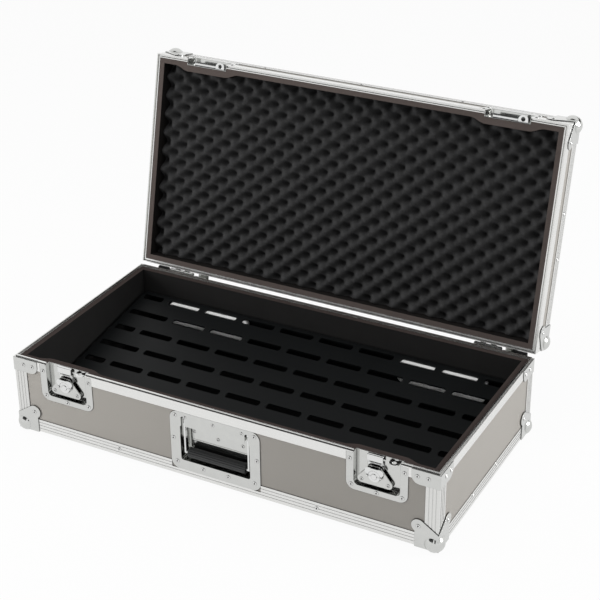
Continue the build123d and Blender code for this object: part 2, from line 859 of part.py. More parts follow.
def handle_spring(side):
    """Torsion spring coiled on the pivot pin between the bracket's cheek and the arm."""
    pitch = (spring_room - 2 * spring_end) / spring_turns
    coil_radius = pivot_pin_radius + spring_play + spring_wire_radius
    start = pivot_origin + Vector(side * (bracket_half + spring_end))
    with BuildPart() as spring:
        with BuildLine() as coil:
            Helix(pitch, spring_turns * pitch, coil_radius, center=start, direction=(side, 0, 0))
        with BuildSketch(Plane(origin=coil.line @ 0, z_dir=coil.line % 0)):
            RegularPolygon(spring_wire_radius, 6)
        sweep(is_frenet=True)
    return spring.part


def handle_bail():
    """Bail: two flat arms with eyes on the pivots, joined by the core rod of the grip."""
    with BuildPart() as bail:
        for side in (-1, 1):
            with BuildSketch(end_plane(side * arm_inner)):
                Circle(eye_radius)
                block(-arm_width / 2, arm_width / 2, -grip_drop, 0)
                with Locations((0, -grip_drop)):
                    Circle(arm_width / 2)
                Circle(pivot_pin_radius + pivot_play, mode=Mode.SUBTRACT)
            extrude(amount=side * arm_plate)
        with BuildSketch(end_plane(0)):
            with Locations((0, -grip_drop)):
                Circle(grip_core_radius)
        extrude(amount=arm_inner, both=True)
    return bail.part


def handle_grip():
    """Moulded grip with lengthwise flutes, carried on the bail's core rod."""
    with BuildPart() as grip:
        with BuildSketch(end_plane(0)):
            with Locations((0, -grip_drop)):
                Circle(grip_radius)
                Circle(grip_core_radius, mode=Mode.SUBTRACT)
                with PolarLocations(grip_radius, flute_count):
                    RegularPolygon(flute_radius, 4, mode=Mode.SUBTRACT)
        extrude(amount=grip_half, both=True)
    return grip.part


# ---- Hinges --------------------------------------------------------------------------------------

def hinge_plane(place):
    """Plane across a hinge at a place along X: x runs toward the back and y up, from the hinge axis."""
    origin = (place, half_depth + hinge_standoff, base_height)
    return Plane(origin=origin, x_dir=(0, 1, 0), z_dir=(1, 0, 0))


def hinge_leaf_piece(start, first_knuckle):
    """Leaf of a lid-stay hinge: every second knuckle from the first, and the stop ear beside them."""
    standoff = -hinge_standoff
    clear = knuckle_radius + leaf_clearance
    slope = radians(90 - stop_angle)
    run = Vector(cos(slope), -sin(slope))
    off = Vector(-sin(slope), -cos(slope)) * ((ear_plate + ear_gap) / 2)
    with BuildPart() as leaf:
        with BuildSketch(hinge_plane(start)):
            block(standoff, standoff + hinge_leaf, -clear - leaf_height, -clear)
            block(standoff - metal, standoff, -clear - leaf_height, -rim_flange - 2 * rim_gap)
        extrude(amount=knuckle_span + leaf_tail)
        for number in range(first_knuckle, knuckle_count, 2):
            with BuildSketch(hinge_plane(start + number * knuckle + knuckle_gap / 2)):
                block(standoff, standoff + hinge_leaf, -clear, 0)
                Circle(knuckle_radius)
                Circle(hinge_pin_radius + hinge_pin_play, mode=Mode.SUBTRACT)
            extrude(amount=knuckle - knuckle_gap)
        with BuildSketch(hinge_plane(start + knuckle_span + pin_overrun)):
            with BuildLine():
                tip = run * ear_reach + off
                Polyline(run * ear_start + off, tip, (standoff + hinge_leaf, tip.Y))
            trace(line_width=ear_plate)
            block(standoff - ear_plate, standoff + hinge_leaf, -clear - leaf_height, 0, mode=Mode.SUBTRACT)
        extrude(amount=ear_width)
    return leaf.part


def hinge_pin(start):
    """Pin through the knuckles of one hinge."""
    with BuildPart() as pin:
        with BuildSketch(hinge_plane(start - pin_overrun)):
            Circle(hinge_pin_radius)
        extrude(amount=knuckle_span + 2 * pin_overrun)
    return pin.part


def hinge_buffer(place):
    """Rubber buffer on the back of a rim brace, beside a hinge and rounded about its axis."""
    seat = brace_plate - hinge_standoff
    with BuildPart() as pad:
        with BuildSketch(hinge_plane(place)):
            Circle(buffer_radius)
            block(seat, buffer_radius, -buffer_drop, 0)
            block(-hinge_standoff, seat, -buffer_radius, buffer_radius, mode=Mode.SUBTRACT)
        extrude(amount=buffer_length)
    return pad.part


# ---- Deck ----------------------------------------------------------------------------------------

def deck_height(y, below=0.0):
    """Height at depth y of the deck's top face, or of a face parallel to it and below it."""
    return deck_middle[1] + (y - deck_middle[0]) * deck_rise - below / cos(radians(deck_slope))


def folded_outline(thickness, mode=Mode.ADD):
    """Outline of the folded sheet, seen from the end, shrunk by a thickness all round."""
    near = deck_front + thickness
    far = deck_back - thickness
    Polygon(
        (near, floor_top),
        (near, deck_height(near, thickness)),
        (far, deck_height(far, thickness)),
        (far, floor_top),
        mode=mode,
    )


def slot_rows():
    """Centres and lengths of the slots: whole slots and a longer or shorter one at each end of a row."""
    gap = slot_pitch - slot_length
    half_row = deck_half - row_end
    room = half_row - slot_length / 2 - gap - shortest_slot
    most = int(2 * room / slot_pitch) + 1
    reach = (deck_back - deck_middle[0]) / cos(radians(deck_slope)) - slot_width / 2 - row_margin
    row_count = 2 * int(reach / row_pitch) + 1
    odd_rows = (row_count + 1) // 2
    for whole, rows in ((most, odd_rows), (most - 1, row_count - odd_rows)):
        start = (whole - 1) / 2 * slot_pitch + slot_length / 2 + gap
        end_length = half_row - start
        yield whole, rows, end_length, start + end_length / 2


def pedal_deck():
    """Slotted deck: one sheet folded down to the floor at the front and the back."""
    with BuildPart() as deck:
        with BuildSketch(Plane.YZ) as section:
            folded_outline(0)
            folded_outline(deck_sheet, mode=Mode.SUBTRACT)
            bends = section.vertices().filter_by(lambda v: v.Y > floor_top + deck_sheet).sort_by(Axis.X)
            fillet(bends[1:-1], radius=deck_bend - deck_sheet)
            bends = section.vertices().filter_by(lambda v: v.Y > floor_top + deck_sheet).sort_by(Axis.X)
            fillet([bends[0], bends[-1]], radius=deck_bend)
        extrude(amount=deck_half, both=True)
        with BuildSketch(Plane.XY) as outline:
            block(-deck_half, deck_half, deck_front, deck_back)
            fillet(outline.vertices().group_by(Axis.Y)[-1], radius=deck_corner)
        extrude(amount=base_height, mode=Mode.INTERSECT)
        with BuildSketch(deck_plane):
            for whole, rows, end_length, end_middle in slot_rows():
                with GridLocations(slot_pitch, 2 * row_pitch, whole, rows):
                    RectangleRounded(slot_length, slot_width, slot_radius)
                with GridLocations(2 * end_middle, 2 * row_pitch, 2, rows):
                    RectangleRounded(end_length, slot_width, slot_radius)
        extrude(amount=2 * deck_sheet, both=True, mode=Mode.SUBTRACT)
    return deck.part


def power_frame(place):
    """Loop of flat strip that holds a power supply, fixed under the deck by its top."""
    width, height = loop_size
    middle = Vector(place, loop_front, deck_height(loop_front, deck_sheet) - height / 2)
    inner_corner = loop_corner - loop_strip
    with BuildPart() as loop:
        with BuildSketch(Plane(origin=middle, x_dir=(1, 0, 0), z_dir=(0, -1, 0))):
            RectangleRounded(width, height, loop_corner)
            RectangleRounded(
                width - 2 * loop_strip,
                height - 2 * loop_strip,
                inner_corner,
                mode=Mode.SUBTRACT,
            )
        extrude(amount=loop_width, dir=deck_along)
    return loop.part


def lid_foam():
    """Foam sheet in the lid, notched round the swellings of the front lining, on the closed lid."""
    low = lid_rim + foam_recess
    with BuildPart() as sheet:
        with BuildSketch(plan("front", low)) as outline:
            block(
                foam_clearance - lined_x,
                lined_x - foam_clearance,
                rim_width + lining + foam_clearance,
                case_depth - rim_width - lining - foam_clearance,
            )
            for centre in latch_centres:
                swelling(centre, rim_width + lining, grow=foam_clearance, mode=Mode.SUBTRACT)
            fillet(swelling_bends(outline), radius=swell_round)
        extrude(amount=lid_ceiling - low - foam_clearance)
    return sheet.part


# ---- Base ----------------------------------------------------------------------------------------
long_run = half_length - metal
short_run = half_depth - rim_width

save("base_bottom_panel", flat_panel(0))
save("base_front_panel", base_front_wall())
save("base_back_panel", base_wall("back", long_run))
save("base_left_panel", base_wall("left", short_run))
save("base_right_panel", base_wall("right", short_run))

front_edge = mitred_bar("front", bottom_edge_section, edge_flange)
with BuildPart() as notched_edge:
    add(front_edge)
    with BuildSketch(front):
        notch = handle_opening / 2 + handle_flange
        block(-notch, notch, handle_low, 2 * edge_flange)
    extrude(amount=-metal, mode=Mode.SUBTRACT)
save(
    "base_bottom_edges",
    notched_edge.part,
    *[mitred_bar(wall, bottom_edge_section, edge_flange) for wall in ("back", "left", "right")],
)
save("base_corner_posts", *four_corners(corner_post(edge_flange - metal, base_height - rim_flange)))

front_rim = mitred_bar("front", base_rim_section, rim_width)
front_rim = cut_for_latches(front_rim, 0, closed_top, base_height, -1)
save("base_front_rim", front_rim)
save("base_back_rim", mitred_bar("back", base_rim_section, rim_width))
save("base_side_rims", *[mitred_bar(wall, base_rim_section, rim_width) for wall in ("left", "right")])

with BuildPart() as felt_sheet:
    with BuildSketch(Plane.XY.offset(panel)):
        Rectangle(2 * inner_x, 2 * inner_y)
    extrude(amount=felt)
save("base_floor_lining", felt_sheet.part)
lining_top = base_height - lining_drop
save(
    "base_wall_lining",
    base_front_lining(),
    plain_lining("back", inner_x, floor_top, lining_top),
    plain_lining("left", lined_y, floor_top, lining_top),
    plain_lining("right", lined_y, floor_top, lining_top),
)

ball = ball_corner()
save("base_ball_corners", *four_corners(ball))
save("base_rim_braces", *four_corners(rim_brace()))

save("pedal_deck", pedal_deck())
for side_name, place in zip(("left", "right"), loop_places):
    save(f"power_frame_{side_name}", power_frame(place))

# ---- Latches on the base -------------------------------------------------------------------------
for side_name, centre in zip(("left", "right"), latch_centres):
    tray = dish(centre, base_height, -1, dish_drop, dish_drop + dish_foot, dish_corner)
    save(f"latch_dish_{side_name}", tray)
    save(f"latch_cover_{side_name}", latch_cover(centre))
    save(f"latch_rotor_{side_name}", latch_rotor(centre))
    save(f"latch_wing_{side_name}", latch_wing(centre))
    save(f"latch_slider_{side_name}", latch_slider(centre))
    save(f"latch_hook_{side_name}", latch_hook(centre))
save("latch_padlock_tabs", *[padlock_tab(centre, tab_height) for centre in latch_centres])

# ---- Handle on the base --------------------------------------------------------------------------
save("handle_dish", handle_dish())
save("handle_bracket", handle_bracket())
save("handle_pins", handle_pin(-1), handle_pin(1))
save("handle_springs", handle_spring(-1), handle_spring(1))
save("handle_bail", handle_bail())
save("handle_grip", handle_grip())

# ---- Lid, drawn closed and turned open -----------------------------------------------------------
save_on_lid("lid_top_panel", flat_panel(lid_ceiling))
save_on_lid("lid_front_panel", lid_front_wall())
save_on_lid("lid_back_panel", lid_wall("back", long_run))
save_on_lid("lid_left_panel", lid_wall("left", short_run))
save_on_lid("lid_right_panel", lid_wall("right", short_run))
save_on_lid("lid_top_edges", *[mitred_bar(wall, top_edge_section, edge_flange) for wall in walls])
save_on_lid("lid_corner_posts", *four_corners(corner_post(lid_rim + rim_flange, closed_top - edge_flange)))

lid_front_rim = mitred_bar("front", lid_rim_section, rim_width)
lid_front_rim = cut_for_latches(lid_front_rim, 0, closed_top, lid_rim, 1)
save_on_lid("lid_front_rim", lid_front_rim)
save_on_lid("lid_back_rim", mitred_bar("back", lid_rim_section, rim_width))
save_on_lid("lid_side_rims", *[mitred_bar(wall, lid_rim_section, rim_width) for wall in ("left", "right")])

lid_lining_low = lid_rim + lining_drop
save_on_lid(
    "lid_wall_lining",
    front_lining(
        lid_lining_low,
        lid_ceiling,
        lid_rim,
        lid_rim + keeper_rise + metal + dish_clearance,
    ),
    plain_lining("back", inner_x, lid_lining_low, lid_ceiling),
    plain_lining("left", lined_y, lid_lining_low, lid_ceiling),
    plain_lining("right", lined_y, lid_lining_low, lid_ceiling),
)
save_on_lid("lid_foam", lid_foam())

waist = Plane.XY.offset((closed_top - metal) / 2)
save_on_lid("lid_ball_corners", *four_corners(ball.mirror(waist)))

keeper_sizes = (keeper_rise, keeper_rise + keeper_head, keeper_corner)
save_on_lid("keeper_dishes", *[dish(centre, lid_rim, 1, *keeper_sizes) for centre in latch_centres])
save_on_lid("keepers", *[keeper(centre) for centre in latch_centres])
save_on_lid("lid_padlock_tabs", *[padlock_tab(centre, lid_rim + lid_tab_rise) for centre in latch_centres])

# ---- Hinges --------------------------------------------------------------------------------------
base_leaves = [hinge_leaf_piece(start, 0) for start in hinge_starts]
lid_leaves = [hinge_leaf_piece(start, 1).mirror(Plane.XY.offset(base_height)) for start in hinge_starts]
save("hinge_base_leaves", *base_leaves)
save("hinge_pins", *[hinge_pin(start) for start in hinge_starts])
save("hinge_buffers", *[hinge_buffer(place) for place in buffer_places])
save_on_lid("hinge_lid_leaves", *lid_leaves)
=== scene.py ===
"""Finishes, rivets, foam and light for the pedal case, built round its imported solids.

Sizes are in millimetres in the case's own frame, X along its length, -Y out of its front and Z up,
and they become metres where a mesh is written. What the lid carries is drawn on the closed lid and
turned open.
"""

import json
import logging
from abc import ABC, abstractmethod
from dataclasses import dataclass, field
from enum import Enum
from math import cos, pi, radians, sin
from typing import Any, Callable

import bmesh
import bpy
import numpy as np
from mathutils import Matrix, Vector

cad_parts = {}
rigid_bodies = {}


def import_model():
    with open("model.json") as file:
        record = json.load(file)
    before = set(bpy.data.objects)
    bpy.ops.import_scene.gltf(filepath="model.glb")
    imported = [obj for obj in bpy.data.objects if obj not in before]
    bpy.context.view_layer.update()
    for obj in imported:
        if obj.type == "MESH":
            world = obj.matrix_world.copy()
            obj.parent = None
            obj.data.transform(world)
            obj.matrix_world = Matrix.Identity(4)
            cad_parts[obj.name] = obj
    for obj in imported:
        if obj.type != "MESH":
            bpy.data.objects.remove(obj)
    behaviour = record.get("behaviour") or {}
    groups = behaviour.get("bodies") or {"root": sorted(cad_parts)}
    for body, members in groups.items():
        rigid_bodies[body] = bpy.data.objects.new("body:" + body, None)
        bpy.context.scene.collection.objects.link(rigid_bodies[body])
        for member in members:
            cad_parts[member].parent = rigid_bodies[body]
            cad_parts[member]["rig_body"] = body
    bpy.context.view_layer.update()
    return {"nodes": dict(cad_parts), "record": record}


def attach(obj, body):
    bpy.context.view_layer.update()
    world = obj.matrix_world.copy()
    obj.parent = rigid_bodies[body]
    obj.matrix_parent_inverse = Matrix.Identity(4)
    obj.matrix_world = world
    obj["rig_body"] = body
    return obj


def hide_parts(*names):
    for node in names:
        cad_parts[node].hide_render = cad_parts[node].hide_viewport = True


LOG = logging.getLogger("pedal_case")

Number = float | int
Colour = tuple[float, float, float]
Point = tuple[float, float, float]
Places = tuple[tuple[float, float], ...]

MM = 0.001
HALF_DEPTH = 200.0
HALF_LENGTH = 400.0
RIM_Z = 140.0
LID_RIM_Z = 140.3
HINGE_Y = 205.0
LID_OPEN = radians(103.0)
# Middles of the latch dishes along X, and how far the latches' works stand from them.
LATCHES = (-293.0, 293.0)
WORKS_SHIFT = -5.5
# Painted shade that darkens the colour in creases, and the openness past which a surface gets none
# of it.
PAINTED_SHADE: Colour = (0.035, 0.034, 0.032)
UNSHADED_OPENNESS = 0.93
OCCLUSION_SAMPLES = 8
# Edges sharper than these stay sharp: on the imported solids' copies, and on new pieces.
SOLID_CREASE = radians(32)
PIECE_CREASE = radians(40)
# Faces this near to one plane are one face, and points this near, in metres, are one point.
FLAT_ANGLE = radians(0.5)
MERGE_REACH = 2e-6


class Body(Enum):
    """The rigid bodies that new pieces ride on."""

    BASE = "base"
    LID = "lid"
    HANDLE = "handle"


class Slot(Enum):
    """Names of the record's material slots."""

    PLATED = "plated_steel"
    FOAM = "foam"
    GRIP = "grip_rubber"


class Side(Enum):
    """Outer faces of the case, as outward direction and direction to the right along the face."""

    FRONT = ((0, -1, 0), (1, 0, 0))
    BACK = ((0, 1, 0), (-1, 0, 0))
    LEFT = ((-1, 0, 0), (0, -1, 0))
    RIGHT = ((1, 0, 0), (0, 1, 0))
    UNDER = ((0, 0, -1), (1, 0, 0))
    TOP = ((0, 0, 1), (1, 0, 0))


# ---- Shader expressions ----
class Wire:
    """A shader socket in an expression, whose operators add Math nodes."""

    def __init__(self, sheet: "Sheet", socket: bpy.types.NodeSocket) -> None:
        """Keeps the socket and the sheet it belongs to."""
        self.sheet = sheet
        self.socket = socket

    def __add__(self, other: "Wire | Number") -> "Wire":
        """Sum."""
        return self.sheet.math("ADD", self, other)

    def __radd__(self, other: Number) -> "Wire":
        """Sum with the number first."""
        return self.sheet.math("ADD", other, self)

    def __sub__(self, other: "Wire | Number") -> "Wire":
        """Difference."""
        return self.sheet.math("SUBTRACT", self, other)

    def __rsub__(self, other: Number) -> "Wire":
        """Difference from a number."""
        return self.sheet.math("SUBTRACT", other, self)

    def __mul__(self, other: "Wire | Number") -> "Wire":
        """Product."""
        return self.sheet.math("MULTIPLY", self, other)

    def __rmul__(self, other: Number) -> "Wire":
        """Product with the number first."""
        return self.sheet.math("MULTIPLY", other, self)

    def __gt__(self, other: "Wire | Number") -> "Wire":
        """One where this is greater, nought elsewhere."""
        return self.sheet.math("GREATER_THAN", self, other)

    def clamped(self) -> "Wire":
        """This value held between nought and one."""
        return self.sheet.add("ShaderNodeClamp", {}, {0: self})


@dataclass
class Sheet:
    """The node tree of one material, with the calls that fill it."""

    tree: bpy.types.NodeTree

    def add(
        self,
        kind: str,
        settings: dict[str, Any],
        sockets: dict[int | str, Any],
        output: int | str = 0,
    ) -> Wire:
        """Adds one node.

        Args:
            kind: the node's type.
            settings: the node's own properties, which are set before its sockets.
            sockets: a value or a Wire for each named or numbered input.
            output: the output to hand back.

        Returns:
            The chosen output as a Wire.
        """
        node = self.tree.nodes.new(kind)
        for name, value in settings.items():
            setattr(node, name, value)
        for name, value in sockets.items():
            if isinstance(value, Wire):
                self.tree.links.new(value.socket, node.inputs[name])
            else:
                node.inputs[name].default_value = value
        return Wire(self, node.outputs[output])

    def math(self, operation: str, *terms: "Wire | Number") -> Wire:
        """Math node over the terms."""
        return self.add("ShaderNodeMath", {"operation": operation}, dict(enumerate(terms)))

    def place(self) -> Wire:
        """Object coordinates, in metres of the case's frame."""
        return self.add("ShaderNodeTexCoord", {}, {}, "Object")

    def stretched(self, amounts: Point) -> Wire:
        """Object coordinates scaled by an amount along each axis."""
        return self.add("ShaderNodeMapping", {}, {"Vector": self.place(), "Scale": amounts})

    def noise(self, scale: float, detail: float = 2.0, where: Wire | None = None) -> Wire:
        """Noise from nought to one; the scale is in cells per metre."""
        sockets = {"Vector": where or self.place(), "Scale": scale, "Detail": detail}
        return self.add("ShaderNodeTexNoise", {}, sockets, "Fac")

    def along(self, direction: Point) -> Wire:
        """Distance along a direction, in metres."""
        sockets = {0: self.place(), 1: direction}
        return self.add("ShaderNodeVectorMath", {"operation": "DOT_PRODUCT"}, sockets, "Value")

    def blend(self, share: Wire, first: Wire | Colour, second: Wire | Colour) -> Wire:
        """Colour between two colours, through a Mix node's factor and colour sockets.

        Args:
            share: how much of the second colour there is.
            first: colour where the share is nought.
            second: colour where it is one.

        Returns:
            The mixed colour.
        """
        ends = [shade if isinstance(shade, Wire) else (*shade, 1.0) for shade in (first, second)]
        sockets = {0: share, 6: ends[0], 7: ends[1]}
        return self.add("ShaderNodeMix", {"data_type": "RGBA"}, sockets, 2)

    def with_painted_shade(self, unshaded: Wire, shade_colour: Colour, reach_mm: float, gain: float) -> Wire:
        """Colour darkened by painted shade in creases and round the feet of parts.

        Args:
            unshaded: colour of the open surface.
            shade_colour: colour of the painted shade.
            reach_mm: how far from a crease the painted shade spreads.
            gain: how fast it deepens where the surface is shut in.

        Returns:
            The blended colour.
        """
        settings, sockets = {"samples": OCCLUSION_SAMPLES}, {"Distance": reach_mm * MM}
        # Painted shade: ambient occlusion darkens the colour in creases and under parts.
        openness = self.add("ShaderNodeAmbientOcclusion", settings, sockets, "AO")
        return self.blend((gain * (UNSHADED_OPENNESS - openness)).clamped(), unshaded, shade_colour)

    def bump(self, height: Wire, depth_mm: float, strength: float = 1.0) -> Wire:
        """Normal tilted by a height field of the given depth."""
        sockets = {"Height": height, "Distance": depth_mm * MM, "Strength": strength}
        return self.add("ShaderNodeBump", {}, sockets, "Normal")


def shade_pair(colour: Colour, spread: float) -> tuple[Colour, Colour]:
    """The colour darkened and lightened by a spread.

    Args:
        colour: the middle colour.
        spread: share of each channel taken off and put on.

    Returns:
        The darker colour and the lighter one, which stops at full white.
    """
    low = tuple(channel * (1 - spread) for channel in colour)
    high = tuple(min(1.0, channel * (1 + spread)) for channel in colour)
    return low, high


@dataclass(frozen=True)
class Finish(ABC):
    """A surface finish: its even values and the pattern that varies them."""

    name: str
    colour: Colour
    roughness: float
    metallic: float = 0.0
    spread: float = 0.05
    specular: float = 0.5

    @abstractmethod
    def pattern(self, sheet: Sheet) -> dict[str, Wire]:
        """A Wire for each of the shader's sockets that varies over the surface."""

    def material(self) -> bpy.types.Material:
        """The material of this finish, made once and shared.

        Returns:
            The new material, or the one that an earlier call made.
        """
        name = f"finish_{self.name}"
        made = bpy.data.materials.get(name)
        if made:
            return made
        made = bpy.data.materials.new(name)
        made.use_nodes = True
        sheet = Sheet(made.node_tree)
        shader = made.node_tree.nodes["Principled BSDF"]
        even = {
            "Base Color": (*self.colour, 1.0),
            "Roughness": self.roughness,
            "Metallic": self.metallic,
            "Specular IOR Level": self.specular,
        }
        for socket, value in even.items():
            shader.inputs[socket].default_value = value
        for socket, wire in self.pattern(sheet).items():
            made.node_tree.links.new(wire.socket, shader.inputs[socket])
        return made


@dataclass(frozen=True)
class Laminate(Finish):
    """Phenolic laminate on the panels: fine speckle over broad clouds, and a faint orange peel."""

    speckle_share: float = 0.7
    gloss_swing: float = 0.12

    def pattern(self, sheet: Sheet) -> dict[str, Wire]:
        """Speckled colour with painted shade in the creases, cloudy roughness and the peel.

        Args:
            sheet: the material's nodes.

        Returns:
            A Wire for each varying socket.
        """
        low, high = shade_pair(self.colour, self.spread)
        speckle = sheet.noise(scale=1500.0, detail=1.0)
        clouds = sheet.noise(scale=9.0, detail=3.0)
        share = self.speckle_share * speckle + (1 - self.speckle_share) * clouds
        gloss = sheet.noise(scale=14.0, detail=4.0)
        peel = sheet.noise(scale=700.0)
        return {
            # Painted shade: the colour darkens in creases and round the feet of parts.
            "Base Color": sheet.with_painted_shade(sheet.blend(share, low, high), PAINTED_SHADE, reach_mm=2.5, gain=2.4),
            "Roughness": self.roughness - self.gloss_swing / 2 + self.gloss_swing * gloss,
            "Normal": sheet.bump(peel, depth_mm=0.04, strength=0.5),
        }


@dataclass(frozen=True)
class Extruded(Finish):
    """Satin aluminium: fine die lines along the bar and a few soft scuffs."""

    grain: Point = (2.0, 2.0, 700.0)
    line_share: float = 0.6
    line_swing: float = 0.1
    scuff_swing: float = 0.08

    def pattern(self, sheet: Sheet) -> dict[str, Wire]:
        """Colour and roughness that follow the die lines, with painted shade in the grooves.

        Args:
            sheet: the material's nodes.

        Returns:
            A Wire for each varying socket.
        """
        low, high = shade_pair(self.colour, self.spread)
        lines = sheet.noise(scale=1.0, where=sheet.stretched(self.grain))
        scuffs = sheet.noise(scale=35.0, detail=5.0)
        share = self.line_share * lines + (1 - self.line_share) * scuffs
        lowest = self.roughness - self.scuff_swing
        return {
            # Painted shade: the colour darkens in grooves and creases.
            "Base Color": sheet.with_painted_shade(sheet.blend(share, low, high), PAINTED_SHADE, reach_mm=2.0, gain=1.0),
            "Roughness": lowest + self.line_swing * lines + self.scuff_swing * scuffs,
            "Normal": sheet.bump(lines, depth_mm=0.02, strength=0.35),
        }


@dataclass(frozen=True)
class Plated(Finish):
    """Plated pressed steel: a slow ripple from pressing, faint smears and painted shade in its
    creases.
    """

    ripple_mm: float = 0.05
    fine_ripple: float = 0.25
    smear_range: tuple[float, float] = (0.7, 1.5)

    def pattern(self, sheet: Sheet) -> dict[str, Wire]:
        """Colour and roughness that follow the smears, and the ripple.

        Args:
            sheet: the material's nodes.

        Returns:
            A Wire for each varying socket.
        """
        low, high = shade_pair(self.colour, self.spread)
        smear = sheet.noise(scale=60.0, detail=4.0)
        slow = sheet.noise(scale=110.0, detail=1.0)
        ripple = slow + self.fine_ripple * sheet.noise(scale=420.0)
        smooth, rough = (self.roughness * share for share in self.smear_range)
        return {
            # Painted shade: the colour darkens in creases and round the feet of parts.
            "Base Color": sheet.with_painted_shade(sheet.blend(smear, low, high), PAINTED_SHADE, reach_mm=3.0, gain=2.0),
            "Roughness": smooth + (rough - smooth) * smear,
            "Normal": sheet.bump(ripple, self.ripple_mm, strength=0.5),
        }


@dataclass(frozen=True)
class Cloth(Finish):
    """Non-woven cover of the padded boards: fibrous charcoal faces and a browner cut edge.

    The edge is what lies past edge_start metres along edge_direction.
    """

    edge_colour: Colour = (0.05, 0.039, 0.036)
    edge_direction: Point = (0.0, 0.0, 1.0)
    edge_start: float = 0.1388
    fibre_share: float = 0.65
    fibre_swing: float = 0.1

    def pattern(self, sheet: Sheet) -> dict[str, Wire]:
        """Colour by height and fibres, with a fibrous bump.

        Args:
            sheet: the material's nodes.

        Returns:
            A Wire for each varying socket.
        """
        fibres = sheet.noise(scale=900.0, detail=4.0)
        clouds = sheet.noise(scale=22.0, detail=3.0)
        share = self.fibre_share * fibres + (1 - self.fibre_share) * clouds
        face, edge = (
            sheet.blend(share, *shade_pair(colour, self.spread))
            for colour in (self.colour, self.edge_colour)
        )
        is_edge = sheet.along(self.edge_direction) > self.edge_start
        return {
            "Base Color": sheet.blend(is_edge, face, edge),
            "Roughness": self.roughness - self.fibre_swing / 2 + self.fibre_swing * fibres,
            "Normal": sheet.bump(fibres, depth_mm=0.15, strength=0.6),
        }


@dataclass(frozen=True)
class OpenFoam(Finish):
    """Open-cell foam: pin-prick cells and soft clouds."""

    cell_scale: float = 900.0
    cell_share: float = 0.8
    cloud_share: float = 0.6

    def pattern(self, sheet: Sheet) -> dict[str, Wire]:
        """Cellular colour and bump.

        Args:
            sheet: the material's nodes.

        Returns:
            A Wire for each varying socket.
        """
        low, high = shade_pair(self.colour, self.spread)
        sockets = {"Vector": sheet.place(), "Scale": self.cell_scale}
        cells = sheet.add("ShaderNodeTexVoronoi", {}, sockets, "Distance")
        clouds = sheet.noise(scale=60.0, detail=4.0)
        share = (self.cell_share * cells + self.cloud_share * clouds).clamped()
        return {
            "Base Color": sheet.blend(share, low, high),
            "Normal": sheet.bump(cells, depth_mm=0.3, strength=0.7),
        }


@dataclass(frozen=True)
class Coated(Finish):
    """Textured coating or moulded skin: an even colour over a fine pebbled grain."""

    grain_scale: float = 1100.0
    grain_mm: float = 0.05
    grain_share: float = 0.5
    drift_swing: float = 0.14

    def pattern(self, sheet: Sheet) -> dict[str, Wire]:
        """Pebbled bump, and colour and roughness that drift a little.

        Args:
            sheet: the material's nodes.

        Returns:
            A Wire for each varying socket.
        """
        low, high = shade_pair(self.colour, self.spread)
        grain = sheet.noise(self.grain_scale, detail=3.0)
        drift = sheet.noise(scale=12.0, detail=4.0)
        share = self.grain_share * grain + (1 - self.grain_share) * drift
        return {
            "Base Color": sheet.blend(share, low, high),
            "Roughness": self.roughness - self.drift_swing / 2 + self.drift_swing * drift,
            "Normal": sheet.bump(grain, self.grain_mm, strength=0.6),
        }


# The closed lid's upward direction where the lid stands open, and where along the opposite
# direction the cut edges of the lid's boards begin: they take up EDGE_BAND from the lid's rim.
EDGE_BAND = 1.6
LID_UP: Point = (0.0, sin(LID_OPEN), cos(LID_OPEN))
EDGE_OVER_HINGE = LID_RIM_Z + EDGE_BAND - RIM_Z
LID_EDGE_START = -(LID_UP[1] * HINGE_Y + LID_UP[2] * RIM_Z + EDGE_OVER_HINGE) * MM

PANEL = Laminate("panel_laminate", (0.375, 0.355, 0.325), 0.45, spread=0.08, specular=0.4)
BAR = Extruded("extruded_satin", (0.80, 0.80, 0.785), 0.23, metallic=1.0, spread=0.06)
UPRIGHT = Extruded(
    "extruded_upright",
    (0.72, 0.72, 0.705),
    0.23,
    metallic=1.0,
    spread=0.06,
    grain=(700.0, 700.0, 2.0),
)
STEEL = Plated("plated_steel", (0.62, 0.625, 0.61), 0.13, metallic=1.0, spread=0.06)
BRIGHT = Plated(
    "bright_steel", (0.74, 0.745, 0.74), 0.07, metallic=1.0, spread=0.03, ripple_mm=0.08
)
RIVET = Plated(
    "rivet_steel", (0.74, 0.74, 0.73), 0.14, metallic=1.0, spread=0.04, ripple_mm=0.02
)
BOARD = Cloth("padded_board_base", (0.021, 0.0205, 0.0202), 0.85, spread=0.35, specular=0.12)
LID_BOARD = Cloth(
    "padded_board_lid",
    (0.014, 0.0125, 0.0118),
    0.85,
    spread=0.35,
    specular=0.12,
    edge_colour=(0.105, 0.086, 0.079),
    edge_direction=tuple(-part for part in LID_UP),
    edge_start=LID_EDGE_START,
)
FELT = Coated(
    "floor_felt",
    (0.006, 0.006, 0.006),
    0.95,
    spread=0.3,
    specular=0.1,
    grain_scale=700.0,
    grain_mm=0.2,
)
FOAM = OpenFoam("egg_crate_foam", (0.040, 0.040, 0.0405), 0.95, spread=0.45, specular=0.1)
DECK = Coated("deck_coating", (0.0042, 0.0048, 0.0051), 0.5, spread=0.12, specular=0.2)
LOOP_STRIP = Plated("loop_strip", (0.93, 0.93, 0.92), 0.4, metallic=0.1, spread=0.05)
GRIP = Coated(
    "grip_rubber", (0.019, 0.0198, 0.020), 0.36, spread=0.15, grain_scale=500.0, grain_mm=0.03
)
# A plain black finish for the blocks beside the hinges.
PAD = Coated(
    "pad_rubber", (0.008, 0.008, 0.008), 0.7, spread=0.2, specular=0.2, grain_scale=600.0
)


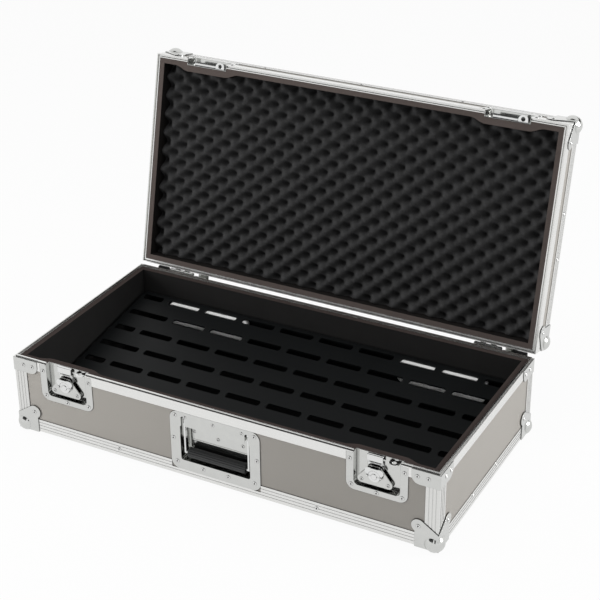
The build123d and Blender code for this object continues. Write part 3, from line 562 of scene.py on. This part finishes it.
# ---- Meshes ----
@dataclass
class Shape:
    """Points and faces; faces are rows of four corners, a triangle giving its last corner twice."""

    points: np.ndarray
    faces: np.ndarray

    def placed(self, frames: np.ndarray, origins: np.ndarray) -> "Shape":
        """Copies of the shape, one to each frame.

        A point p of copy k lies at origin k plus frame k times p, for all copies at once.

        Args:
            frames: k matrices whose columns are the shape's axes.
            origins: k origins.

        Returns:
            One shape that holds all copies.
        """
        points = np.einsum("kij,nj->kni", frames, self.points) + origins[:, None, :]
        steps = np.arange(len(origins))[:, None, None] * len(self.points)
        faces = (self.faces[None] + steps).reshape(-1, self.faces.shape[1])
        return Shape(points.reshape(-1, 3), faces)

    def opened(self) -> "Shape":
        """The shape turned with the lid: y and z about the hinge turn back by the lid's opening.

        Returns:
            The shape where the lid stands open.
        """
        y, z = self.points[:, 1] - HINGE_Y, self.points[:, 2] - RIM_Z
        turned_y = HINGE_Y + y * cos(LID_OPEN) + z * sin(LID_OPEN)
        turned_z = RIM_Z - y * sin(LID_OPEN) + z * cos(LID_OPEN)
        return Shape(np.column_stack((self.points[:, 0], turned_y, turned_z)), self.faces)


def joined(shapes: list[Shape]) -> Shape:
    """Several shapes as one.

    Args:
        shapes: the shapes, in order.

    Returns:
        One shape with all their points and faces.
    """
    steps = np.cumsum([0] + [len(shape.points) for shape in shapes[:-1]])
    faces = [shape.faces + step for shape, step in zip(shapes, steps)]
    return Shape(np.vstack([shape.points for shape in shapes]), np.vstack(faces))


def lathe(profile: np.ndarray, steps: int) -> Shape:
    """Solid of revolution about z, closed at both ends.

    Point (i, j) is (r_i cos t_j, r_i sin t_j, h_i) for profile rows (r, h) and t evenly round.
    A pole at each end closes the surface with triangles.

    Args:
        profile: rows of radius and height, from the upper pole's ring to the lower one's.
        steps: divisions round the axis.

    Returns:
        The closed shape.
    """
    turn = np.linspace(0, 2 * pi, steps, endpoint=False)
    radius, height = profile[:, :1], profile[:, 1:]
    rings = np.stack((radius * np.cos(turn), radius * np.sin(turn), height + 0 * turn), axis=-1)
    poles = np.array([[0, 0, profile[0, 1]], [0, 0, profile[-1, 1]]])
    points = np.vstack((rings.reshape(-1, 3), poles))
    column, after = np.arange(steps), (np.arange(steps) + 1) % steps
    row = np.arange(len(profile) - 1)[:, None] * steps
    below = row + steps
    walls = np.stack((row + column, below + column, below + after, row + after), axis=-1)
    first, last = len(points) - 2, len(points) - 1
    low = (len(profile) - 1) * steps
    top = np.stack((np.full(steps, first), column, after, after), axis=-1)
    bottom = np.stack((np.full(steps, last), low + after, low + column, low + column), axis=-1)
    return Shape(points, np.vstack((walls.reshape(-1, 4), top, bottom)))


def stand(name: str, data: bpy.types.ID) -> bpy.types.Object:
    """Puts a mesh, a lamp or a camera into the scene as an object.

    Args:
        name: the object's name.
        data: what it holds.

    Returns:
        The new object.
    """
    thing = bpy.data.objects.new(name, data)
    bpy.context.scene.collection.objects.link(thing)
    return thing


def write_piece(
    name: str,
    shape: Shape,
    finish: Finish,
    body: Body,
    extra_faces: list[list[int]] | None = None,
) -> bpy.types.Object:
    """Writes a shape as one smooth-shaded piece on a body.

    Args:
        name: the piece's name.
        shape: points in millimetres, and faces.
        finish: its finish.
        body: the body it rides on.
        extra_faces: faces with more than four corners.

    Returns:
        The new object.
    """
    faces = [list(dict.fromkeys(face)) for face in shape.faces.tolist()] + (extra_faces or [])
    mesh = bpy.data.meshes.new(name)
    mesh.from_pydata((shape.points * MM).tolist(), [], faces)
    mesh.validate()
    mesh.shade_smooth()
    mesh.set_sharp_from_angle(angle=PIECE_CREASE)
    mesh.materials.append(finish.material())
    piece = stand(name, mesh)
    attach(piece, body.value)
    LOG.info("%s: %d faces", name, len(faces))
    return piece


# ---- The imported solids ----
@dataclass
class Solids:
    """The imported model's nodes: some are dressed as they are, others get softened edges."""

    nodes: dict[str, bpy.types.Object]
    record: dict[str, Any]

    def dress(self, finish: Finish, *names: str) -> None:
        """Gives nodes a finish.

        Args:
            finish: the finish.
            names: the nodes' names.
        """
        for name in names:
            for holder in self.nodes[name].material_slots:
                holder.material = finish.material()
            LOG.info("%s: %s", name, finish.name)

    def soften(
        self, node: str, finish: Finish, radius_mm: float, steps: int = 2, smooth: bool = True
    ) -> bpy.types.Object:
        """Stands a copy with rounded edges in for a node.

        Args:
            node: the node, whose merged copy keeps its shape and place.
            finish: the copy's finish.
            radius_mm: radius of its edges.
            steps: segments across each rounded edge.
            smooth: whether it is shaded smooth, or flat, as long narrow faces need.

        Returns:
            The piece that replaces the node.
        """
        source = self.nodes[node]
        mesh = source.data.copy()
        mesh.name = f"{node}_soft"
        packed_normals = mesh.attributes.get("custom_normal")
        if packed_normals:
            mesh.attributes.remove(packed_normals)
        work = bmesh.new()
        work.from_mesh(mesh)
        bmesh.ops.remove_doubles(work, verts=work.verts, dist=MERGE_REACH)
        if smooth:
            bmesh.ops.dissolve_limit(
                work, angle_limit=FLAT_ANGLE, verts=work.verts, edges=work.edges
            )
        else:
            bmesh.ops.join_triangles(
                work,
                faces=work.faces,
                angle_face_threshold=FLAT_ANGLE,
                angle_shape_threshold=pi,
            )
        bmesh.ops.recalc_face_normals(work, faces=work.faces)
        work.to_mesh(mesh)
        work.free()
        if smooth:
            mesh.shade_smooth()
            mesh.set_sharp_from_angle(angle=SOLID_CREASE)
        else:
            mesh.shade_flat()
        mesh.materials.clear()
        mesh.materials.append(finish.material())
        piece = stand(f"{node}_soft", mesh)
        bevel = piece.modifiers.new("soft_edge", "BEVEL")
        bevel.limit_method = "ANGLE"
        bevel.angle_limit = SOLID_CREASE
        bevel.width = radius_mm * MM
        bevel.segments = steps
        bevel.harden_normals = smooth
        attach(piece, source["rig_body"])
        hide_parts(node)
        LOG.info("%s: edges softened by %.2f mm", node, radius_mm)
        return piece

    def names(self, test: Callable[[str], bool]) -> list[str]:
        """Node names that pass a test."""
        return [name for name in sorted(self.nodes) if test(name)]


# ---- Shell ----
@dataclass
class Shell:
    """Panels, extrusions, braces and ball corners."""

    solids: Solids
    corner_edge: float = 0.7
    brace_edge: float = 0.4

    def build(self) -> None:
        """Dresses the panels and bars, and softens the pressed corners."""
        self.solids.dress(PANEL, *self.solids.names(lambda name: name.endswith("_panel")))
        rims = self.solids.names(lambda name: name.endswith(("_rim", "_side_rims")))
        self.solids.dress(BAR, "base_bottom_edges", "lid_top_edges", *rims)
        self.solids.dress(UPRIGHT, "base_corner_posts", "lid_corner_posts")
        for node in ("base_ball_corners", "lid_ball_corners"):
            self.solids.soften(node, STEEL, self.corner_edge)
        self.solids.soften("base_rim_braces", STEEL, self.brace_edge)


@dataclass
class Linings:
    """Padded boards, floor felt, pedal deck and the strip loops under it."""

    solids: Solids
    board_edge: float = 1.6
    board_fill: float = 0.9
    deck_edge: float = 0.5

    def build(self) -> None:
        """Rounds the boards and the deck and dresses the rest."""
        for node, finish in (("base_wall_lining", BOARD), ("lid_wall_lining", LID_BOARD)):
            piece = self.solids.soften(node, finish, self.board_edge, steps=3, smooth=False)
        self.solids.dress(FELT, "base_floor_lining")
        self.solids.soften("pedal_deck", DECK, self.deck_edge)
        for node in ("power_frame_left", "power_frame_right"):
            self.solids.soften(node, LOOP_STRIP, self.deck_edge)


@dataclass
class LidFoam:
    """Egg-crate foam of the lid: bumps and pits that alternate like the squares of a chessboard."""

    half_length: float = 383.5
    half_depth: float = 183.5
    pitch: tuple[float, float] = (37.13, 35.29)
    first_bump: tuple[float, float] = (10.66, 0.93)
    peak_z: float = 151.8
    pit_depth: float = 25.0
    pit_power: float = 0.72
    wander: float = 0.8
    wander_rate: tuple[float, float] = (0.021, 0.034)
    wander_start: tuple[float, float] = (1.3, 0.4)
    back_z: float = 192.4
    step: float = 2.4
    swell: float = 8.5
    swell_flat: float = 44.5
    swell_slope: float = 18.0
    fill: float = 0.8
    columns: int = field(init=False)
    rows: int = field(init=False)

    def __post_init__(self) -> None:
        """Works out how many grid lines the sheet takes."""
        self.columns = int(2 * self.half_length / self.step)
        self.rows = int(2 * self.half_depth / self.step)

    def front_edge(self, x: np.ndarray) -> np.ndarray:
        """Front edge of the sheet: straight, and stepped back smoothly round each latch's swelling.

        The step is the swelling's depth times a cosine ramp of the distance from the latch.

        Args:
            x: places along the case.

        Returns:
            The edge's y at each of them.
        """
        away = np.min(np.abs(x[..., None] - np.array(LATCHES)), axis=-1)
        ramp = np.clip((self.swell_flat + self.swell_slope - away) / self.swell_slope, 0, 1)
        return -self.half_depth + self.swell * (0.5 - 0.5 * np.cos(pi * ramp))

    def height(self, x: np.ndarray, y: np.ndarray) -> np.ndarray:
        """Height of the foam's face on the closed lid.

        The wave is cos(2 pi (x - x0) / px) cos(2 pi (y - y0) / py), one at a bump and minus one in
        a pit. The depth below the bumps is the pit's depth times one less a power of half of one
        plus the wave. A slow product of sines lets the soft sheet wander from flat.

        Args:
            x: places along the case.
            y: places across it, one for each x.

        Returns:
            The height of the face at each place; the lid is closed, so the bumps are the lowest.
        """
        phase_x = 2 * pi * (x - self.first_bump[0]) / self.pitch[0]
        phase_y = 2 * pi * (y - self.first_bump[1]) / self.pitch[1]
        share = (1 + np.cos(phase_x) * np.cos(phase_y)) / 2
        slow_x = np.sin(x * self.wander_rate[0] + self.wander_start[0])
        slow_y = np.sin(y * self.wander_rate[1] + self.wander_start[1])
        depth = self.pit_depth * (1 - share**self.pit_power)
        return self.peak_z + self.wander * slow_x * slow_y + depth

    def build(self) -> None:
        """Builds the closed sheet: the waved face, the back and the four sides between them."""
        across = np.linspace(-self.half_length, self.half_length, self.columns)
        share = np.linspace(0, 1, self.rows)
        x, v = np.meshgrid(across, share)
        start = self.front_edge(x)
        y = start + v * (self.half_depth - start)
        face = np.stack((x, y, self.height(x, y)), axis=-1).reshape(-1, 3)
        number = np.arange(self.rows * self.columns).reshape(self.rows, self.columns)
        quads = np.stack(
            (number[:-1, :-1], number[1:, :-1], number[1:, 1:], number[:-1, 1:]), axis=-1
        )
        rim = np.concatenate(
            (number[0], number[1:, -1], number[-1, -2::-1], number[-2:0:-1, 0])
        )
        back = face[rim].copy()
        back[:, 2] = self.back_z
        under = len(face) + np.arange(len(rim))
        sides = np.stack((rim, np.roll(rim, -1), np.roll(under, -1), under), axis=-1)
        sheet = Shape(np.vstack((face, back)), np.vstack((quads.reshape(-1, 4), sides)))
        flat_back = [under.tolist()]
        piece = write_piece(
            "lid_egg_crate", sheet.opened(), FOAM, Body.LID, flat_back
        )
        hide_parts("lid_foam")


# ---- Hardware ----
@dataclass
class Latches:
    """Latches, keepers and padlock tabs."""

    solids: Solids
    dish_edge: float = 0.9
    part_edge: float = 0.35

    def build(self) -> None:
        """Softens every pressed part and brightens what is plated bright."""
        for side in ("left", "right"):
            self.solids.soften(f"latch_dish_{side}", STEEL, self.dish_edge)
            self.solids.soften(f"latch_cover_{side}", STEEL, self.part_edge)
            for part in ("rotor", "wing", "slider", "hook"):
                self.solids.soften(f"latch_{part}_{side}", BRIGHT, self.part_edge)
        self.solids.soften("keeper_dishes", STEEL, self.dish_edge)
        for node in ("keepers", "lid_padlock_tabs", "latch_padlock_tabs"):
            self.solids.soften(node, BRIGHT, self.part_edge)


@dataclass
class Handle:
    """The handle's dish, bracket, bail and fluted grip."""

    solids: Solids
    dish_edge: float = 0.9
    bracket_edge: float = 0.4
    bail_edge: float = 0.9
    pivot_y: float = -191.0
    grip_z: float = 41.5
    grip_radius: float = 9.1
    grip_length: float = 111.6
    flutes: int = 14
    flute_steps: int = 8
    flute_depth: float = 0.75
    flute_power: int = 2
    end_round: float = 3.0
    end_drop: float = 0.45
    end_rings: int = 7
    middle_rings: int = 11
    middle_margin: float = 6.0

    def grip(self) -> Shape:
        """The grip: a tube along X whose radius dips at each flute and rounds in at both ends.

        The radius at length u and angle t is R minus the flute's depth times a power of half of one
        plus cos(n t). Near each end it shrinks along a quarter-ellipse by the share end_drop.

        Returns:
            The tube's wall, open at both ends.
        """
        half = self.grip_length / 2
        inset = self.end_round * (1 - np.sin(np.linspace(0, pi / 2, self.end_rings)))
        middle = half - self.middle_margin
        between = np.linspace(-middle, middle, self.middle_rings)
        u = np.sort(np.concatenate((-half + inset[::-1], half - inset, between)))
        inside = np.clip((half - np.abs(u)) / self.end_round, 0, 1)
        swell = 1 - self.end_drop + self.end_drop * np.sqrt(1 - (1 - inside) ** 2)
        turn = np.linspace(0, 2 * pi, self.flutes * self.flute_steps, endpoint=False)
        dip = self.flute_depth * (0.5 + 0.5 * np.cos(self.flutes * turn)) ** self.flute_power
        radius = (self.grip_radius - dip[None, :]) * swell[:, None]
        y = self.pivot_y + radius * np.cos(turn)
        z = self.grip_z + radius * np.sin(turn)
        points = np.stack((u[:, None] + 0 * radius, y, z), axis=-1).reshape(-1, 3)
        steps = len(turn)
        column, after = np.arange(steps), (np.arange(steps) + 1) % steps
        row = np.arange(len(u) - 1)[:, None] * steps
        beyond = row + steps
        walls = np.stack((row + column, row + after, beyond + after, beyond + column), axis=-1)
        return Shape(points, walls.reshape(-1, 4))

    def build(self) -> None:
        """Softens the pressed parts and lays the grip over the bail's rod."""
        self.solids.soften("handle_dish", STEEL, self.dish_edge)
        self.solids.soften("handle_bracket", STEEL, self.bracket_edge)
        self.solids.soften("handle_bail", BRIGHT, self.bail_edge, steps=3)
        self.solids.dress(STEEL, "handle_pins", "handle_springs")
        grip = self.grip()
        steps = self.flutes * self.flute_steps
        last = len(grip.points) - steps
        ends = [list(range(steps))[::-1], list(range(last, last + steps))]
        piece = write_piece("handle_grip_fluted", grip, GRIP, Body.HANDLE, ends)
        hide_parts("handle_grip")


@dataclass
class Hinges:
    """Lid-stay hinges and the black blocks beside them."""

    solids: Solids
    leaf_edge: float = 0.3
    buffer_edge: float = 0.6

    def build(self) -> None:
        """Softens the leaves and the black blocks, and dresses the pins."""
        for node in ("hinge_base_leaves", "hinge_lid_leaves"):
            self.solids.soften(node, STEEL, self.leaf_edge)
        self.solids.dress(BRIGHT, "hinge_pins")
        self.solids.soften("hinge_buffers", PAD, self.buffer_edge)


# ---- Rivets ----
@dataclass(frozen=True)
class RivetRow:
    """Rivets on one side of the case: how far out they sit, and their places right and up."""

    side: Side
    out: float
    places: Places
    size: float = 1.0


@dataclass
class Rivets:
    """Tubular rivets with domed heads round an open bore."""

    radius: float = 3.5
    rise: float = 1.3
    hole: float = 1.25
    sunk: float = 0.3
    steps: int = 16
    bore: Places = ((0.5, -0.6), (0.9, -0.5), (1.0, 0.7), (1.4, 1.0))
    crown: Places = ((0.75, 0.85), (0.93, 0.5), (1.0, 0.1))

    def head(self) -> Shape:
        """A head about z: the tube's bore, a rounded crown and a rim sunk just under the surface.

        The bore's rows are shares of the hole's radius and of the rise, and the crown's are shares
        of the head's radius and of the rise.

        Returns:
            The closed head.
        """
        bore = np.array(self.bore) * (self.hole, self.rise)
        crown = np.array(self.crown) * (self.radius, self.rise)
        return lathe(np.vstack((bore, crown, (self.radius, -self.sunk))), self.steps)

    def place(self, rows: list[RivetRow]) -> Shape:
        """Heads at every place of the rows, each turned to face out of its side.

        Args:
            rows: the rows.

        Returns:
            All the heads as one shape.
        """
        head = self.head()
        shapes = []
        for row in rows:
            out, right = (np.array(part, float) for part in row.side.value)
            up = np.cross(out, right)
            spots = np.array(row.places, float)
            origins = spots[:, :1] * right + spots[:, 1:] * up + row.out * out
            frame = np.column_stack((right, up, out)) * row.size
            shapes.append(head.placed(np.repeat(frame[None], len(spots), axis=0), origins))
        return joined(shapes)


def mirrored(*places: tuple[float, float]) -> Places:
    """The places and their mirror images about the middle of the side."""
    return places + tuple((-x, z) for x, z in places)


def at_dishes(*places: tuple[float, float], shift: float = 0.0) -> Places:
    """The places, measured along X from the middle of each latch dish, with an optional shift."""
    return tuple((centre + shift + x, z) for centre in LATCHES for x, z in places)


@dataclass
class CaseRivets:
    """Every rivet of the base and of the lid.

    The outs of the corners' lobes and of the braces are above the case's faces, the others are
    distances from the frame's origin.
    """

    heads: Rivets = field(default_factory=Rivets)
    small: float = 0.85
    smallest: float = 0.8
    lobe_out: float = 1.5
    brace_out: float = 1.2
    plate_out: float = 201.5
    under_out: float = 2.7
    foot_out: float = 194.6
    bracket_out: float = 181.5
    corner_x: float = 366.0
    corner_end: float = 166.0
    flat_y: float = 161.5
    corner_z: float = 37.3
    lid_corner_z: float = 161.5
    edge_z: float = 12.0
    lid_edge_z: float = 186.0
    leaf_starts: tuple[float, float] = (-335.0, 289.0)
    leaf_steps: tuple[float, float, float] = (9.0, 25.0, 41.0)

    def corner_rows(self, z: float, flat_side: Side, flat_out: float) -> list[RivetRow]:
        """Rivets of the ball corners: on the four upright sides and on the flat side they close.

        Args:
            z: height of those on the upright sides.
            flat_side: the underside, or the lid's top.
            flat_out: how far out the flat side's rivets sit.

        Returns:
            A row for each of the five sides.
        """
        long_side = mirrored((self.corner_x, z))
        short_side = mirrored((self.corner_end, z))
        flat = mirrored((self.corner_x, self.flat_y), (self.corner_x, -self.flat_y))
        out_y, out_x = HALF_DEPTH + self.lobe_out, HALF_LENGTH + self.lobe_out
        return [
            RivetRow(Side.FRONT, out_y, long_side),
            RivetRow(Side.BACK, out_y, long_side),
            RivetRow(Side.LEFT, out_x, short_side),
            RivetRow(Side.RIGHT, out_x, short_side),
            RivetRow(flat_side, flat_out, flat),
        ]

    def leaf_row(self, *heights: float) -> RivetRow:
        """Rivets of the hinge leaves behind the case, three across each leaf at every height.

        Args:
            heights: their heights.

        Returns:
            The row, for both hinges.
        """
        places = tuple(
            (-start - x, z) for start in self.leaf_starts for x in self.leaf_steps for z in heights
        )
        return RivetRow(Side.BACK, self.plate_out, places, self.smallest)

    def base_rows(self) -> list[RivetRow]:
        """Rivets on the base, side by side.

        Returns:
            The rows of ball corners, rim braces, dishes, edges, latch feet, handle and hinges.
        """
        braces = mirrored((362.0, 128.4), (380.5, 128.6))
        brace_ends = mirrored((162.0, 128.4), (180.5, 128.6))
        dishes = at_dishes((47.0, 126.5), (44.0, 79.0), (-47.0, 126.5), (-44.0, 79.0), (0.0, 74.6))
        feet = at_dishes((-23.0, 90.5), (23.0, 90.5), shift=WORKS_SHIFT)
        handle = mirrored((75.0, 114.0), (79.5, 69.0), (74.0, 24.0), (24.0, 21.0))
        band = ((-56.0, 113.5), (-2.5, 113.5), (51.6, 113.5))
        bracket = ((-50.0, 78.0), (-4.0, 75.0), (43.0, 76.0))
        edges = ((-191.6, self.edge_z), (188.0, self.edge_z))
        return self.corner_rows(self.corner_z, Side.UNDER, self.under_out) + [
            RivetRow(Side.FRONT, HALF_DEPTH + self.brace_out, braces),
            RivetRow(Side.BACK, HALF_DEPTH + self.brace_out, braces),
            RivetRow(Side.LEFT, HALF_LENGTH + self.brace_out, brace_ends),
            RivetRow(Side.RIGHT, HALF_LENGTH + self.brace_out, brace_ends),
            RivetRow(Side.FRONT, HALF_DEPTH, dishes + handle + edges),
            RivetRow(Side.FRONT, HALF_DEPTH, band, self.small),
            RivetRow(Side.FRONT, self.foot_out, feet, self.small),
            RivetRow(Side.FRONT, self.bracket_out, bracket, self.small),
            RivetRow(Side.BACK, HALF_DEPTH, edges),
            RivetRow(Side.LEFT, HALF_LENGTH, ((0.0, self.edge_z),)),
            RivetRow(Side.RIGHT, HALF_LENGTH, ((42.0, 18.0), (-60.0, 18.0))),
            self.leaf_row(112.0, 127.0),
        ]

    def lid_rows(self) -> list[RivetRow]:
        """Rivets on the closed lid.

        Returns:
            The rows of ball corners, keeper dishes, edges and hinges.
        """
        dishes = at_dishes((47.0, 152.0), (46.0, 170.5), (-47.0, 152.0), (-46.0, 170.5))
        edges = tuple((x, self.lid_edge_z) for x in (-195.0, 0.0, 194.0))
        ends = tuple((x, self.lid_edge_z) for x in (-40.0, 40.0))
        return self.corner_rows(self.lid_corner_z, Side.TOP, self.plate_out) + [
            RivetRow(Side.FRONT, HALF_DEPTH, dishes + edges),
            RivetRow(Side.BACK, HALF_DEPTH, edges),
            RivetRow(Side.LEFT, HALF_LENGTH, ends),
            RivetRow(Side.RIGHT, HALF_LENGTH, ends),
            self.leaf_row(153.0, 168.0),
        ]

    def build(self) -> None:
        """Writes the base's rivets and the lid's."""
        base = self.heads.place(self.base_rows())
        write_piece("base_rivets", base, RIVET, Body.BASE)
        lid = self.heads.place(self.lid_rows()).opened()
        write_piece("lid_rivets", lid, RIVET, Body.LID)


# ---- Camera, light and floor ----
@dataclass(frozen=True)
class Lamp:
    """A square soft lamp that faces the case, and whether polished metal mirrors it."""

    name: str
    place: Point
    size: float
    power: float
    mirrored: bool = True


@dataclass(frozen=True)
class Flag:
    """A black card that only mirror rays meet, with the lengths of its level and steep edges."""

    name: str
    middle: Point
    width: float
    height: float


# Polished metal mirrors the white room, and would look like paper but for the dark outlines that
# the flags give it. Three in front are narrow, so that flat bars mirror the white between them.
FLAGS = (
    Flag("flag_left", (-1.25, -2.0, 1.9), 2.2, 1.9),
    Flag("flag_middle", (1.15, -2.16, 2.0), 0.7, 3.2),
    Flag("flag_right", (2.2, -1.45, 2.0), 0.6, 3.2),
    Flag("flag_front", (-0.1, -2.6, 2.1), 0.6, 2.6),
    Flag("flag_top", (0.05, -0.5, 3.8), 3.6, 3.0),
    Flag("flag_back", (1.5, 2.4, 1.35), 1.8, 0.9),
)
LAMPS = (
    Lamp("end_lamp", (2.4, 0.7, 1.0), 1.0, 37.0),
    Lamp("front_lamp", (-1.3, -1.1, 0.5), 0.7, 13.5, mirrored=False),
    Lamp("top_lamp", (-0.5, -0.35, 2.9), 2.4, 41.0, mirrored=False),
)
# Signs of a flat piece's corners, in order round it.
CORNERS = ((-1, -1), (1, -1), (1, 1), (-1, 1))


def grey(level: float) -> tuple[float, float, float, float]:
    """An opaque grey, from nought, black, to one, white."""
    return (level, level, level, 1.0)


@dataclass
class Studio:
    """A pale floor, a white room, soft lamps, black cards and the camera; sizes are in metres."""

    eye: Point = (1.1366, -2.0215, 1.4716)
    forward: Point = (-0.4177, 0.7800, -0.4659)
    right: Point = (0.8835, 0.4683, -0.0082)
    lens_mm: float = 93.27
    sensor_mm: float = 36.0
    clip: float = 50.0
    aim: Point = (0.0, 0.0, 0.12)
    fill: float = 0.25
    floor_z: float = -0.0089
    floor_reach: float = 6.0
    floor_paint: float = 0.78
    floor_seen: float = 0.95
    floor_mirrored: float = 0.8
    flag_black: float = 0.004

    def camera(self) -> None:
        """Sets the camera square to its forward and right directions."""
        ahead = Vector(self.forward).normalized()
        right = (Vector(self.right) - ahead * Vector(self.right).dot(ahead)).normalized()
        above = right.cross(ahead)
        data = bpy.data.cameras.new("camera")
        data.lens = self.lens_mm
        data.sensor_width = self.sensor_mm
        data.clip_end = self.clip
        turn = Matrix((right, above, -ahead)).transposed().to_4x4()
        camera = stand("camera", data)
        camera.matrix_world = Matrix.Translation(self.eye) @ turn
        bpy.context.scene.camera = camera

    def lamp(self, plan: Lamp) -> None:
        """Adds a lamp.

        Args:
            plan: its place, size in metres and power in watts.
        """
        data = bpy.data.lights.new(plan.name, "AREA")
        data.size = plan.size
        data.energy = plan.power
        lamp = stand(plan.name, data)
        lamp.location = plan.place
        aim = Vector(self.aim) - Vector(plan.place)
        lamp.rotation_mode = "QUATERNION"
        lamp.rotation_quaternion = aim.to_track_quat("-Z", "Y")
        lamp.visible_glossy = plan.mirrored

    def ray(self, sheet: Sheet, *kinds: str) -> Wire:
        """One for rays of these kinds and nought for the rest.

        Args:
            sheet: the node tree that it goes into.
            kinds: kinds of ray, as the Light Path node's outputs name them.

        Returns:
            The sum of those outputs, held between nought and one.
        """
        seen = 0.0
        for kind in kinds:
            seen = seen + sheet.add("ShaderNodeLightPath", {}, {}, f"Is {kind} Ray")
        return seen.clamped()

    def world(self) -> None:
        """White behind the case and in reflections, and a softer even light from all round."""
        world = bpy.data.worlds.new("studio")
        world.use_nodes = True
        bpy.context.scene.world = world
        sheet = Sheet(world.node_tree)
        seen = self.ray(sheet, "Camera", "Glossy", "Transmission")
        strength = self.fill + (1 - self.fill) * seen
        node = world.node_tree.nodes["Background"]
        node.inputs["Color"].default_value = grey(1.0)
        world.node_tree.links.new(strength.socket, node.inputs["Strength"])

    def floor(self) -> None:
        """A level white floor that keeps the case's shadow and looks nearly white to the camera."""
        material = bpy.data.materials.new("floor_white")
        material.use_nodes = True
        sheet = Sheet(material.node_tree)
        paint = sheet.add("ShaderNodeBsdfDiffuse", {}, {"Color": grey(self.floor_paint)})
        glow = sheet.add("ShaderNodeEmission", {}, {"Color": grey(1.0), "Strength": 1.0})
        seen = self.floor_seen * self.ray(sheet, "Camera")
        share = seen + self.floor_mirrored * self.ray(sheet, "Glossy", "Transmission")
        mixed = sheet.add("ShaderNodeMixShader", {}, {0: share, 1: paint, 2: glow})
        surface = material.node_tree.nodes["Material Output"].inputs["Surface"]
        material.node_tree.links.new(mixed.socket, surface)
        corners = [(x * self.floor_reach, y * self.floor_reach, self.floor_z) for x, y in CORNERS]
        self.sheet_piece("floor", corners, material)

    def sheet_piece(
        self, name: str, corners: list[Point], material: bpy.types.Material
    ) -> bpy.types.Object:
        """Adds a flat piece of the studio, which isn't part of the case.

        Args:
            name: its name.
            corners: its four corners in order, in metres.
            material: its material.

        Returns:
            The new object.
        """
        mesh = bpy.data.meshes.new(name)
        mesh.from_pydata(corners, [], [(0, 1, 2, 3)])
        mesh.materials.append(material)
        piece = stand(name, mesh)
        return piece

    def flag(self, plan: Flag) -> None:
        """Adds a black card that faces the case.

        Its level edges run square to the line from its middle to the case.

        Args:
            plan: its middle and the lengths of its edges, in metres.
        """
        material = bpy.data.materials.new(plan.name)
        material.use_nodes = True
        shader = material.node_tree.nodes["Principled BSDF"]
        shader.inputs["Base Color"].default_value = grey(self.flag_black)
        middle = Vector(plan.middle)
        level = middle.cross(Vector((0.0, 0.0, 1.0))).normalized() * plan.width / 2
        steep = level.cross(middle).normalized() * plan.height / 2
        corners = [tuple(middle + level * x + steep * y) for x, y in CORNERS]
        card = self.sheet_piece(plan.name, corners, material)
        card.visible_camera = False
        card.visible_diffuse = False
        card.visible_shadow = False
        card.visible_transmission = False

    def build(self) -> None:
        """Sets the view transform and the camera, and adds floor, world, flags and lamps."""
        bpy.context.scene.view_settings.view_transform = "Standard"
        self.camera()
        self.floor()
        self.world()
        for flag in FLAGS:
            self.flag(flag)
        for lamp in LAMPS:
            self.lamp(lamp)


def main() -> None:
    """Builds the studio and the case's looks in order."""
    logging.basicConfig(level=logging.INFO, format="%(name)s %(message)s")
    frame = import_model()
    solids = Solids(frame["nodes"], frame["record"])
    sub_assemblies = (
        Studio(),
        Shell(solids),
        Linings(solids),
        LidFoam(),
        Latches(solids),
        Handle(solids),
        Hinges(solids),
        CaseRivets(),
    )
    for sub_assembly in sub_assemblies:
        sub_assembly.build()


if __name__ == "__main__":
    main()
